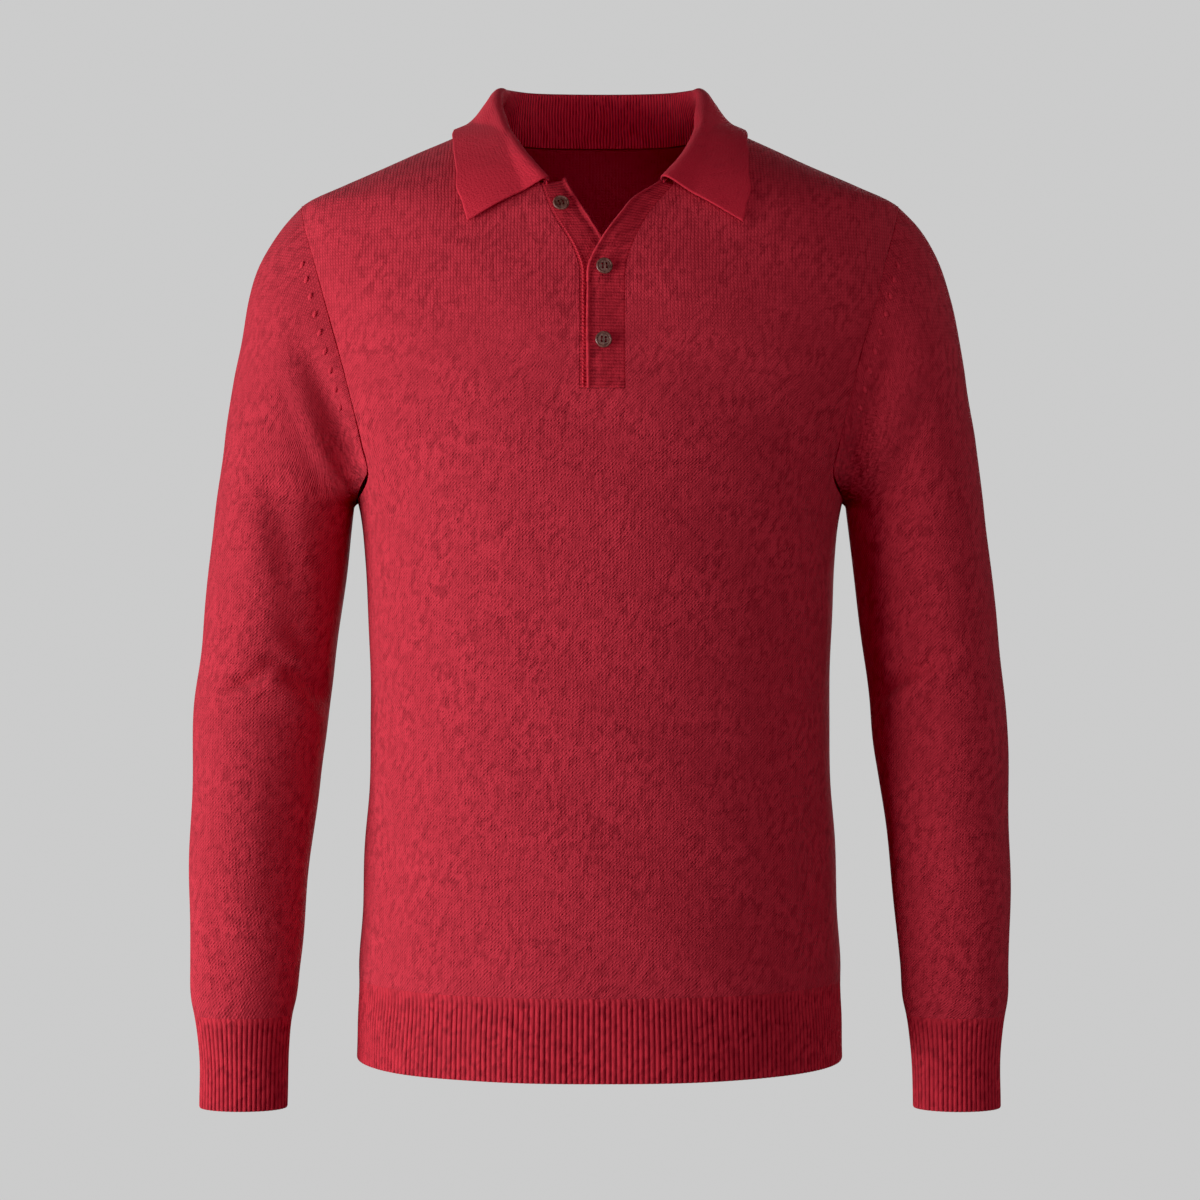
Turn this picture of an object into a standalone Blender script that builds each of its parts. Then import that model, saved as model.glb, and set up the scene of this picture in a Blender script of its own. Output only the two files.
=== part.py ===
"""A long-sleeved polo sweater in fine jersey, filled out as worn, with nobody inside it.

Metres, +Z up. -Y is the front and +X is the wearer's left. The origin is the middle of the neck, at
the height where a wearer's shoulders carry the cloth.
"""

import math

import bmesh
import bpy
import numpy as np
from mathutils import Matrix, Vector

# Driving sizes
JERSEY = 0.0018  # wall of the panels and sleeves
RIB = 0.0022  # wall of the ribs, the collar and the placket strips
SEAM = 0.0003  # air between two linked pieces
ARMHOLE_SEAM = 0.0004
UNDERARM_GAP = 0.0006  # along X between a panel and its sleeve, where they lie back to back
SQUARENESS = 0.91  # 1 makes the torso's sections ellipses, less makes them squarer

HEM = -0.6605
RIB_TOP = -0.6020
ARMPIT = -0.2577
SHOULDER_TIP = -0.0420
NECK_POINT = 0.0205
BACK_NECK = 0.0115
CUFF_END = -0.6925
CUFF_TOP = -0.6260

# How each grid is divided. The panels, sleeves, strips and collar share their divisions at the seams.
SIDE_ROWS, ARMHOLE_ROWS, SHOULDER_ROWS = 9, 10, 5
FRONT_COLUMNS = 9  # on each side of the slot
BACK_COLUMNS = 16
SLEEVE_COLUMNS = 2 * ARMHOLE_ROWS
CAP_ROWS, TUBE_ROWS = 8, 14
SLOT_ROW = 4  # the slot starts this many armhole rows up
STRIP_COLUMNS, COLLAR_ROWS, RIB_ROWS = 4, 7, 2
PANEL_ROWS = SIDE_ROWS + ARMHOLE_ROWS + SHOULDER_ROWS


def table(columns, *rows):
    """A table with named columns. The first column is where each row lies."""
    return dict(zip(columns.split(), np.array(rows, float).T))


def read(rows, column, place):
    """A column's value at any place, on a smooth curve through the rows and straight past their ends."""
    places, values = next(iter(rows.values())), rows[column]
    place = np.asarray(place, float)
    slopes = np.gradient(values, places)
    i = np.clip(np.searchsorted(places, place) - 1, 0, len(places) - 2)
    span = places[i + 1] - places[i]
    t = (place - places[i]) / span
    s = np.clip(t, 0, 1)
    curve = (
        (2 * s**3 - 3 * s**2 + 1) * values[i]
        + (s**3 - 2 * s**2 + s) * span * slopes[i]
        + (3 * s**2 - 2 * s**3) * values[i + 1]
        + (s**3 - s**2) * span * slopes[i + 1]
    )
    past = np.clip(t, None, 0) * span * slopes[i] + np.clip(t - 1, 0, None) * span * slopes[i + 1]
    return curve + past


def mix(a, b, share):
    return a + (b - a) * share


def ease(share):
    """From 0 to 1 with no slope at either end."""
    return share**2 * (3 - 2 * share)


def power(value, exponent):
    return np.sign(value) * np.abs(value) ** exponent


def unit(vectors):
    return vectors / np.linalg.norm(vectors, axis=-1, keepdims=True)


# Level sections of the body, from the hem to the neck. Above the shoulder tips the half width is the
# shoulder's slope.
TORSO = table(
    "height half_width front back middle",
    (HEM, 0.1770, 0.131, 0.127, 0.000),
    (-0.6350, 0.1763, 0.130, 0.126, 0.000),
    (-0.6060, 0.1742, 0.130, 0.125, 0.000),
    (-0.5910, 0.1745, 0.130, 0.124, 0.000),
    (-0.5480, 0.1726, 0.128, 0.120, 0.001),
    (-0.5040, 0.1705, 0.126, 0.116, 0.002),
    (-0.4450, 0.1674, 0.124, 0.111, 0.004),
    (-0.3720, 0.1679, 0.124, 0.110, 0.005),
    (-0.3000, 0.1716, 0.128, 0.114, 0.004),
    (ARMPIT, 0.1762, 0.130, 0.118, 0.003),
    (-0.2350, 0.1830, 0.130, 0.120, 0.002),
    (-0.2000, 0.1970, 0.129, 0.121, 0.002),
    (-0.1662, 0.2120, 0.128, 0.122, 0.002),
    (-0.1350, 0.2225, 0.126, 0.121, 0.002),
    (-0.1000, 0.2290, 0.121, 0.118, 0.003),
    (-0.0700, 0.2270, 0.114, 0.113, 0.004),
    (-0.0540, 0.2235, 0.110, 0.109, 0.005),
    (SHOULDER_TIP, 0.2168, 0.105, 0.105, 0.006),
    (-0.0292, 0.1900, 0.098, 0.099, 0.006),
    (-0.0146, 0.1560, 0.088, 0.089, 0.007),
    (0.0000, 0.1256, 0.077, 0.077, 0.008),
    (0.0110, 0.1018, 0.067, 0.066, 0.009),
    (NECK_POINT, 0.0800, 0.058, 0.056, 0.010),
)

# The armhole seam's distance from the middle, at the front and at the back.
ARMHOLE = table(
    "height front back",
    (ARMPIT, 0.1762, 0.1762),
    (-0.2411, 0.1669, 0.1745),
    (-0.2194, 0.1697, 0.1805),
    (-0.1934, 0.1746, 0.1875),
    (-0.1662, 0.1811, 0.1945),
    (-0.1401, 0.1884, 0.2010),
    (-0.1139, 0.1957, 0.2065),
    (-0.0888, 0.2025, 0.2110),
    (-0.0665, 0.2098, 0.2140),
    (SHOULDER_TIP, 0.2168, 0.2168),
)

# The neckline's height by the angle from the middle front, and by the angle from the middle back.
FRONT_NECKLINE = table(
    "angle height",
    (12, -0.037),
    (18.5, -0.022),
    (32, -0.002),
    (52, 0.0125),
    (90, NECK_POINT),
)
BACK_NECKLINE = table(
    "angle height",
    (0, BACK_NECK),
    (30, 0.0120),
    (60, 0.0150),
    (90, NECK_POINT),
)

# The slot's two edges, the wearer's right and left: the neck stands open above the top closed button.
SLOT = table(
    "height right left",
    (-0.1840, -0.0143, 0.0174),
    (-0.1150, -0.0143, 0.0174),
    (-0.0970, -0.0148, 0.0180),
    (-0.0830, -0.0200, 0.0222),
    (-0.0610, -0.0330, 0.0330),
    (-0.0370, -0.0420, 0.0520),
)


def torso(angle, height, side):
    """Points of the body's outer face. The angle runs from the middle front (side -1) or back (side 1)."""
    across, deep = np.sin(angle), np.cos(angle)
    depth = read(TORSO, "front" if side < 0 else "back", height)
    x = read(TORSO, "half_width", height) * power(across, SQUARENESS)
    y = read(TORSO, "middle", height) + side * (depth * power(deep, SQUARENESS) + SEAM / 2)
    return np.stack(np.broadcast_arrays(x, y, height), axis=-1)


def torso_normal(points, side):
    """The outward normal of the torso's face at points on it."""
    step = 1e-4
    height = points[..., 2]
    angle = angle_of(points[..., 0], height)
    around = torso(angle + step, height, side) - torso(angle - step, height, side)
    upward = torso(angle, height + step, side) - torso(angle, height - step, side)
    return unit(np.cross(around, upward) * -side)


def angle_of(x, height):
    """The angle at which the torso's section at this height reaches x."""
    share = np.clip(x / read(TORSO, "half_width", height), -1, 1)
    return np.arcsin(power(share, 1 / SQUARENESS))


def panel_row(v):
    """(height by the armhole, share of the way from shoulder tip to neck) of the panel's row at v."""
    row = np.asarray(v, float) * PANEL_ROWS
    side = mix(RIB_TOP, ARMPIT, row / SIDE_ROWS)
    turn = np.clip((row - SIDE_ROWS) / ARMHOLE_ROWS, 0, 1) * math.pi
    armhole = mix(ARMPIT, SHOULDER_TIP, (1 - np.cos(turn)) / 2)
    shoulder = (row - SIDE_ROWS - ARMHOLE_ROWS) / SHOULDER_ROWS
    return np.where(row < SIDE_ROWS, side, armhole), np.where(shoulder > 0, shoulder, 0)


def armhole_angle(height, column):
    inside = (height > ARMPIT) & (height < SHOULDER_TIP)
    reach = angle_of(read(ARMHOLE, column, height), height)
    return np.where(inside, reach, math.pi / 2)


def on_panel(angle, v, neckline):
    """The height of a panel's row at an angle: level up to the shoulder tips, then rising to the neckline."""
    level, shoulder = panel_row(v)
    first = next(iter(neckline.values()))[0]
    top = read(neckline, "height", np.clip(np.degrees(np.abs(angle)), first, 90))
    return mix(level, top, shoulder)


def slot_angle(v, edge):
    level, shoulder = panel_row(v)
    height = mix(level, FRONT_NECKLINE["height"][0], shoulder)
    return angle_of(read(SLOT, edge, height), height)


def front(u, v):
    """The front panel: even columns from each armhole to the slot, and one column across the slot."""
    column = u * (2 * FRONT_COLUMNS + 1)
    edge = armhole_angle(panel_row(v)[0], "front")
    right, left = slot_angle(v, "right"), slot_angle(v, "left")
    angle = np.where(
        column < FRONT_COLUMNS,
        mix(-edge, right, column / FRONT_COLUMNS),
        np.where(
            column > FRONT_COLUMNS + 1,
            mix(left, edge, (column - FRONT_COLUMNS - 1) / FRONT_COLUMNS),
            mix(right, left, column - FRONT_COLUMNS),
        ),
    )
    return torso(angle, on_panel(angle, v, FRONT_NECKLINE), -1)


def back(u, v):
    edge = armhole_angle(panel_row(v)[0], "back")
    angle = edge * (1 - 2 * u)
    return torso(angle, on_panel(angle, v, BACK_NECKLINE), 1)


def hem_rib(side):
    def surface(u, v):
        angle = -side * mix(-math.pi / 2, math.pi / 2, u)
        return torso(angle, mix(HEM, RIB_TOP - SEAM, v), side)

    return surface


# The sleeve turns about a line beside the armpit, from the armhole down to the level of the armpit:
# how far it reaches from that line, and its half depth, by the turn in degrees.
PIVOT_X, PIVOT_Z, PIVOT_INNER = 0.1764, -0.2620, 0.0030
CAP = table(
    "turn reach half_depth middle",
    (-10.0, 0.1073, 0.0499, -0.0023),
    (0.0, 0.1033, 0.0500, -0.003),
    (27.4, 0.1088, 0.0525, -0.004),
    (46.5, 0.1297, 0.0550, -0.005),
    (55.6, 0.1491, 0.0570, -0.006),
    (62.8, 0.1715, 0.0590, -0.006),
    (69.4, 0.1945, 0.0610, -0.007),
    (74.8, 0.2114, 0.0630, -0.007),
    (79.6, 0.2237, 0.0645, -0.007),
)
CAP_TURN = CAP["turn"][-1]
CAP_FULLNESS = 0.8  # under 1 fills out the corners of the ring at the armhole

# Level sections of the sleeve below the armpit, and of the cuff.
SLEEVE = table(
    "height x y half_width half_depth",
    (CUFF_END, 0.2560, -0.034, 0.0316, 0.0225),
    (-0.6500, 0.2560, -0.033, 0.0323, 0.0230),
    (CUFF_TOP, 0.2557, -0.032, 0.0353, 0.0255),
    (-0.6165, 0.2555, -0.031, 0.0374, 0.0277),
    (-0.5900, 0.2551, -0.029, 0.0393, 0.0310),
    (-0.5454, 0.2538, -0.024, 0.0421, 0.0365),
    (-0.4880, 0.2515, -0.014, 0.0449, 0.0410),
    (-0.4590, 0.2497, -0.008, 0.0468, 0.0430),
    (-0.4300, 0.2478, -0.002, 0.0486, 0.0450),
    (-0.4015, 0.2464, 0.002, 0.0493, 0.0465),
    (-0.3577, 0.2410, 0.003, 0.0496, 0.0480),
    (-0.3285, 0.2374, 0.002, 0.0500, 0.0488),
    (-0.2993, 0.2340, 0.000, 0.0506, 0.0495),
    (PIVOT_Z, 0.22955, -0.003, 0.05015, 0.0500),
)


# The sleeve's rows crowd half their length past this share of it, at the elbow: 0 would space them evenly.
WIDEST_ROWS, CROWDING = 0.1, 0.6


def tube(turn, height):
    """Points round the sleeve: turn 0 faces outwards, and a quarter turn faces the front."""
    x = read(SLEEVE, "x", height) + read(SLEEVE, "half_width", height) * np.cos(turn)
    y = read(SLEEVE, "y", height) - read(SLEEVE, "half_depth", height) * np.sin(turn)
    return np.stack(np.broadcast_arrays(x, y, height), axis=-1)


def armhole(turn):
    """The armhole seam, where turn 0 is the shoulder tip and a quarter turn is the front."""
    height = mix(ARMPIT, SHOULDER_TIP, (1 + np.cos(turn)) / 2)
    inside = np.clip(height, ARMPIT + 1e-7, SHOULDER_TIP - 1e-7)
    ahead = torso(armhole_angle(inside, "front"), inside, -1)
    behind = torso(armhole_angle(inside, "back"), inside, 1)
    return np.where((np.sin(turn) > 0)[..., None], ahead, behind)


def cap_ring(turn, lift):
    """A ring of the sleeve's cap, from a lift of 0 at the armpit's level to 1 beside the armhole."""
    bend = lift * CAP_TURN
    reach, half_depth = read(CAP, "reach", bend), read(CAP, "half_depth", bend)
    along = (reach + PIVOT_INNER) / 2 + (reach - PIVOT_INNER) / 2 * np.cos(turn)
    x = PIVOT_X + along * np.cos(np.radians(bend))
    y = read(CAP, "middle", bend) - half_depth * power(np.sin(turn), mix(1, CAP_FULLNESS, lift))
    z = PIVOT_Z + along * np.sin(np.radians(bend))
    return np.stack(np.broadcast_arrays(x, y, z), axis=-1)


def cap(turn, lift, seam_gap=0):
    """Points round the sleeve's cap, whose top ring is drawn on to the armhole seam."""
    drawn = armhole(turn) + seam_gap - cap_ring(turn, np.ones_like(turn))
    return cap_ring(turn, lift) + drawn * (lift**3)[..., None]


def armhole_frame(turn):
    """Along the armhole seam: the panel's normal, the sleeve's, how far they agree, and their gap."""
    step = 1e-3
    seam = armhole(turn)
    side = np.where(np.sin(turn) > 0, -1, 1)
    panel = np.where((side < 0)[..., None], torso_normal(seam, -1), torso_normal(seam, 1))
    tangent = unit(armhole(turn + step) - armhole(turn - step))
    outward = cap(turn, 1 - step + 0 * turn) - cap(turn, 1 + 0 * turn)
    own = unit(np.cross(tangent, outward))
    agree = np.clip((np.sum(panel * own, axis=-1, keepdims=True) - 0.2) / 0.4, 0, 1)
    across = unit(np.cross(panel + own, tangent))
    gap = mix(np.array((UNDERARM_GAP, 0, 0)), across * ARMHOLE_SEAM, agree)
    return panel, own, agree, gap


def sleeve(mirror):
    def surface(u, v):
        turn = -mirror * 2 * math.pi * u
        row = v * (CAP_ROWS + TUBE_ROWS)
        share = row / TUBE_ROWS
        swing = np.sin(2 * math.pi * (share - WIDEST_ROWS)) + math.sin(2 * math.pi * WIDEST_ROWS)
        height = mix(CUFF_TOP, PIVOT_Z, share + CROWDING * swing / (2 * math.pi))
        lift = (row - TUBE_ROWS) / CAP_ROWS
        gap = armhole_frame(turn)[3]
        in_cap = (lift > 0)[..., None]
        points = np.where(in_cap, cap(turn, np.maximum(lift, 0), gap), tube(turn, height))
        return points * (mirror, 1, 1)

    return surface


def sleeve_rim(mirror):
    """The way in from the sleeve's face on its armhole seam, and NaN elsewhere."""

    def way_in(u, v):
        panel, own, agree, _ = armhole_frame(-mirror * 2 * math.pi * u)
        shared = unit(mix(own, unit(panel + own), agree)) * (-mirror, -1, -1)
        return np.where((v > 1 - 1e-6)[..., None], shared, np.nan)

    return way_in


def panel_rim(side):
    """The way in from a panel's face on its armhole seams, and NaN elsewhere."""

    def way_in(u, v):
        row = v * PANEL_ROWS - SIDE_ROWS
        at_seam = (np.minimum(u, 1 - u) < 1e-6) & (row > 1e-3) & (row < ARMHOLE_ROWS + 1e-3)
        turn = -side * (math.pi - np.clip(row / ARMHOLE_ROWS, 0, 1) * math.pi)
        panel, own, agree, _ = armhole_frame(turn)
        half = np.where((u > 0.5) == (side < 0), 1, -1)
        shared = -unit(mix(panel, unit(panel + own), agree))
        shared[..., 0] *= half
        return np.where(at_seam[..., None], shared, np.nan)

    return way_in


def cuff(mirror):
    def surface(u, v):
        points = tube(-mirror * 2 * math.pi * u, mix(CUFF_END, CUFF_TOP - SEAM, v))
        return points * (mirror, 1, 1)

    return surface


# The strips' free edges, and how far the over strip's edge stands out: each strip goes from flush at
# its seam to its free edge, one over the other.
STRIPS = table(
    "height under_edge over_edge over_lift",
    (-0.1840, 0.0112, -0.0092, 0.0024),
    (-0.1150, 0.0112, -0.0092, 0.0024),
    (-0.0970, 0.0100, -0.0084, 0.0026),
    (-0.0830, 0.0050, -0.0014, 0.0040),
    (-0.0610, -0.0085, 0.0142, 0.0050),
    (-0.0500, -0.0160, 0.0236, 0.0045),
    (-0.0370, -0.0250, 0.0430, 0.0030),
)
SLOT_START, SLOT_END = (SIDE_ROWS + SLOT_ROW) / PANEL_ROWS, (SIDE_ROWS + ARMHOLE_ROWS) / PANEL_ROWS
UNDER_DROP = 0.0024
UNDER_CORNER, OVER_CORNER = 0.0065, 0.0010  # how far the free corners rise at the neck


def strip(v, share, seam, free_edge, corner):
    """Points on the front's face, from a strip's seam (share 0) to its free edge (share 1)."""
    level = panel_row(mix(SLOT_START, SLOT_END, v))[0] + SEAM * (1 - v)
    x = mix(seam(level), read(STRIPS, free_edge, level), share)
    height = level + corner * share**2 * np.clip(v, 0, None) ** 4
    return torso(angle_of(x, height), height, -1)


def placket_over(u, v):
    face = strip(v, 1 - u, lambda z: read(SLOT, "left", z) - SEAM, "over_edge", OVER_CORNER)
    stands_out = ease(1 - u) * read(STRIPS, "over_lift", face[..., 2])
    return face + torso_normal(face, -1) * stands_out[..., None]


def placket_under(u, v):
    face = strip(v, u, lambda z: read(SLOT, "right", z) + SEAM, "under_edge", UNDER_CORNER)
    return face - torso_normal(face, -1) * (ease(u) * UNDER_DROP)[..., None]


# Half of the collar, from its front end (0) by the shoulder seam (0.5) to the middle back (1): the
# crest of its fold, and its outer edge, by the angle from the middle front and the height.
COLLAR = table(
    "along fold_x fold_y fold_z edge_angle edge_z hollow",
    (0.000, 0.0400, -0.0990, -0.0350, 22.7, -0.0662, 0.0000),
    (0.060, 0.0532, -0.0830, -0.0185, 24.6, -0.0495, 0.0000),
    (0.125, 0.0635, -0.0600, -0.0010, 28.2, -0.0345, 0.0006),
    (0.254, 0.0690, -0.0350, 0.0190, 42.0, -0.0115, 0.0022),
    (0.377, 0.0722, -0.0130, 0.0348, 55.5, 0.0004, 0.0027),
    (0.500, 0.0714, 0.0080, 0.0440, 76.0, 0.0084, 0.0020),
    (0.650, 0.0670, 0.0330, 0.0470, 120.0, 0.0076, 0.0031),
    (0.800, 0.0490, 0.0540, 0.0485, 146.0, -0.0030, 0.0024),
    (0.900, 0.0255, 0.0625, 0.0493, 163.0, -0.0050, 0.0020),
    (1.000, 0.0000, 0.0650, 0.0495, 180.0, -0.0060, 0.0020),
    (1.100, -0.0255, 0.0625, 0.0493, 197.0, -0.0050, 0.0020),
)
# Across the collar: shares of the neckline, the fold's crest and the outer edge, how far the face lies
# out from and up over that line, and its share of the hollow.
COLLAR_PROFILE = table(
    "across neck fold edge out up hollow",
    (0, 1.00, 0.00, 0.00, 0.0000, 0.0000, 0.0),
    (1, 0.50, 0.50, 0.00, -0.0022, 0.0000, 0.0),
    (2, 0.00, 1.00, 0.00, -0.0030, -0.0036, 0.0),
    (3, 0.00, 1.00, 0.00, 0.0000, 0.0000, 0.0),
    (4, 0.00, 1.00, 0.00, 0.0038, -0.0036, 0.0),
    (5, 0.00, 0.68, 0.32, 0.0009, 0.0000, 0.0),
    (6, 0.00, 0.34, 0.66, 0.0002, 0.0000, 1.0),
    (7, 0.00, 0.00, 1.00, 0.0000, 0.0000, 0.0),
)
COLLAR_OFFSET = 0.004  # the open front of the collar sits this far to the wearer's left
COLLAR_CLEARANCE = RIB + 0.0007
STAND_SEAT = (0.0020, 0.0004)  # the stand's foot: in from the panel's edge, and up from it


def clear_of_body(points, least):
    """Points pushed out where they would lie nearer to the torso than this."""

    def outside(at):
        height = at[..., 2]
        side = at[..., 1] - read(TORSO, "middle", height)
        depth = np.where(side < 0, read(TORSO, "front", height), read(TORSO, "back", height))
        width = np.maximum(read(TORSO, "half_width", height), 0.004)
        reach = np.abs(at[..., 0] / width) ** (2 / SQUARENESS) + np.abs(side / depth) ** (2 / SQUARENESS)
        return reach ** (SQUARENESS / 2) - 1

    step = 1e-5
    moves = np.eye(3) * step
    for _ in range(4):
        grow = np.stack([outside(points + move) - outside(points - move) for move in moves], axis=-1)
        grow /= 2 * step
        slope = np.linalg.norm(grow, axis=-1)
        short = np.maximum(least - outside(points) / slope, 0)
        points = points + grow / slope[..., None] * short[..., None]
    return points


def neckline(along, half):
    """The neckline on one half: the front panel's edge up to the shoulder seam, then the back panel's."""
    edge = np.degrees(np.abs(slot_angle(1.0, "left" if half > 0 else "right")))
    ahead = np.radians(mix(edge, 90, np.clip(along, None, 0.5) / 0.5))
    behind = np.radians(mix(90, 0, (np.clip(along, 0.5, None) - 0.5) / 0.5))
    front_half = torso(ahead, on_panel(ahead, 1.0, FRONT_NECKLINE), -1)
    back_half = torso(behind, on_panel(behind, 1.0, BACK_NECKLINE), 1)
    edge_points = np.where((along < 0.5)[..., None], front_half, back_half)
    inward = np.stack([-edge_points[..., 0], -edge_points[..., 1], 0 * along], axis=-1)
    return edge_points + unit(inward) * STAND_SEAT[0] + np.array((0, 0, STAND_SEAT[1]))


def collar_half(along, across, half):
    shift = COLLAR_OFFSET * half * np.clip(1 - along / 0.3, 0, 1)

    def fold_at(place):
        return np.stack([read(COLLAR, "fold_" + axis, place) for axis in "xyz"], axis=-1)

    fold, neck = fold_at(along), neckline(along, half)
    edge_angle = np.radians(read(COLLAR, "edge_angle", along))
    edge_z = read(COLLAR, "edge_z", along)
    ahead = torso(edge_angle, edge_z, -1)
    behind = torso(math.pi - edge_angle, edge_z, 1)
    edge = np.where((edge_angle < math.pi / 2)[..., None], ahead, behind)
    fold[..., 0] += shift
    edge[..., 0] += shift
    tangent = fold_at(along + 0.01) - fold_at(along - 0.01)
    stand, fall = fold - neck, edge - fold
    up = unit(stand) - unit(fall)
    up = unit(up - unit(tangent) * np.sum(up * unit(tangent), axis=-1, keepdims=True))
    out = np.cross(unit(tangent), up)
    lines = {"neck": neck, "fold": fold, "edge": edge, "out": out, "up": up}
    points = sum(line * read(COLLAR_PROFILE, name, across)[..., None] for name, line in lines.items())
    hollow = read(COLLAR, "hollow", along) * read(COLLAR_PROFILE, "hollow", across)
    points = points - out * hollow[..., None]
    cleared = clear_of_body(points, COLLAR_CLEARANCE)
    return mix(points, cleared, np.clip(across - 3, 0, 1)[..., None])


def collar(u, v):
    """The collar: columns run from the wearer's right front round the back to the left front."""
    column = (1 - u) * (2 * FRONT_COLUMNS + BACK_COLUMNS)
    across = v * COLLAR_PROFILE["across"][-1]
    half = column <= FRONT_COLUMNS + BACK_COLUMNS / 2
    from_end = np.where(half, column, 2 * FRONT_COLUMNS + BACK_COLUMNS - column)
    along = np.where(
        from_end < FRONT_COLUMNS,
        from_end / FRONT_COLUMNS * 0.5,
        0.5 + (from_end - FRONT_COLUMNS) / BACK_COLUMNS,
    )
    right = collar_half(along, across, -1) * (-1, 1, 1)
    left = collar_half(along, across, 1)
    return np.where(half[..., None], right, left)


# The largest folds: soft troughs, drawn as lines seen from the front (side -1) or the back (side 1).
FOLDS = table(
    "side x z x_end z_end half_width depth",
    (-1, -0.216, -0.150, -0.196, -0.213, 0.011, 0.0035),
    (-1, -0.268, -0.386, -0.204, -0.388, 0.010, 0.0045),
    (-1, 0.214, -0.148, 0.198, -0.205, 0.010, 0.0025),
    (-1, 0.204, -0.397, 0.246, -0.369, 0.010, 0.0045),
    (1, -0.225, -0.330, -0.200, -0.372, 0.012, 0.0035),
    (1, 0.228, -0.345, 0.202, -0.380, 0.012, 0.0035),
    (-1, -0.146, -0.300, -0.095, -0.232, 0.014, 0.0030),
    (-1, 0.150, -0.282, 0.105, -0.222, 0.013, 0.0025),
    (1, -0.150, -0.262, -0.090, -0.310, 0.015, 0.0035),
    (1, 0.150, -0.255, 0.085, -0.315, 0.015, 0.0035),
)


def folds_at(points, outward):
    """How far in the cloth is pressed along the troughs."""
    pressed = 0 * points[..., 0]
    for side, x, z, x_end, z_end, half_width, depth in zip(*FOLDS.values()):
        line = np.array((x_end - x, z_end - z))
        from_start = points[..., ::2] - (x, z)
        along = np.clip(from_start @ line / (line @ line), 0, 1)
        apart = np.linalg.norm(from_start - along[..., None] * line, axis=-1)
        trough = depth * np.exp(-((apart / half_width) ** 2))
        pressed = pressed + trough * np.clip(side * outward[..., 1], 0, 1)
    return pressed


def material(name, colour, roughness):
    made = bpy.data.materials.new(name)
    made.use_nodes = True
    shader = made.node_tree.nodes["Principled BSDF"]
    shader.inputs["Base Color"].default_value = (*colour, 1)
    shader.inputs["Roughness"].default_value = roughness
    shader.inputs["Metallic"].default_value = 0
    return made


def put_in_scene(name, mesh, coat):
    mesh.shade_smooth()
    mesh.set_sharp_from_angle(angle=math.radians(50))
    mesh.materials.append(coat)
    made = bpy.data.objects.new(name, mesh)
    bpy.context.scene.collection.objects.link(made)
    return made


def cloth(name, columns, rows, surface, thickness, coat, slot=None, rim=None):
    """A closed wall: a grid on surface(u, v), and its twin one thickness behind it. The rim gives the
    way in at a seam that another wall meets."""
    sheet = bmesh.new()
    bmesh.ops.create_grid(sheet, x_segments=columns, y_segments=rows, size=0.5)
    bmesh.ops.translate(sheet, vec=(0.5, 0.5, 0), verts=sheet.verts)
    if slot:
        cut = [face for face in sheet.faces if slot(*face.calc_center_median()[:2])]
        bmesh.ops.delete(sheet, geom=cut, context="FACES")
    place = sheet.verts.layers.float_vector.new("place")
    for vertex in sheet.verts:
        vertex[place] = vertex.co
    lay(sheet.verts, place, surface)
    bmesh.ops.remove_doubles(sheet, verts=sheet.verts, dist=1e-6)
    twin = bmesh.ops.extrude_face_region(sheet, geom=sheet.faces[:], use_keep_orig=True)["geom"]
    lay([part for part in twin if isinstance(part, bmesh.types.BMVert)], place, surface, thickness, rim)
    bmesh.ops.recalc_face_normals(sheet, faces=sheet.faces)
    mesh = bpy.data.meshes.new(name)
    sheet.to_mesh(mesh)
    sheet.free()
    return put_in_scene(name, mesh, coat)


def lay(vertices, place, surface, depth=0, rim=None):
    """Moves each vertex to its place on the surface, and this far behind its face."""
    step = 1e-4
    u = np.array([vertex[place].x for vertex in vertices])
    v = np.array([vertex[place].y for vertex in vertices])
    upward = surface(u, v + step) - surface(u, v - step)
    way_in = -unit(np.cross(surface(u + step, v) - surface(u - step, v), upward))
    points = surface(u, v)
    pressed = folds_at(points, -way_in)
    at_rim = rim(u, v) if rim else np.full_like(points, np.nan)
    points = points + way_in * pressed[..., None] + np.where(np.isnan(at_rim), way_in, at_rim) * depth
    for vertex, point in zip(vertices, points):
        vertex.co = point


# The buttons
BUTTON_RADIUS = 0.0057
BUTTON_THICKNESS = 0.0024
BUTTON_SEAT = 0.0007  # air behind a button, where its thread shank is
BUTTON_HOLE_RADIUS = 0.00078
BUTTON_HOLE_OUT = 0.0020  # from the button's middle to a hole's
# Half of the button's section, from its back's middle round to its dished face: radius, height.
BUTTON_SECTION = (
    (0.0, 0.0),
    (BUTTON_RADIUS - 0.0010, 0.0),
    (BUTTON_RADIUS, 0.0008),
    (BUTTON_RADIUS, BUTTON_THICKNESS - 0.0006),
    (BUTTON_RADIUS - 0.0006, BUTTON_THICKNESS),
    (BUTTON_RADIUS - 0.0014, BUTTON_THICKNESS - 0.0002),
    (BUTTON_RADIUS - 0.0021, BUTTON_THICKNESS - 0.0008),
    (0.0, BUTTON_THICKNESS - 0.0009),
)
# Where the buttons sit: strip, x and height.
BUTTONS = (
    ("button_1", "under", -0.0272, -0.0535),
    ("button_2", "over", 0.0028, -0.0988),
    ("button_3", "over", 0.0021, -0.1500),
)


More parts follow.
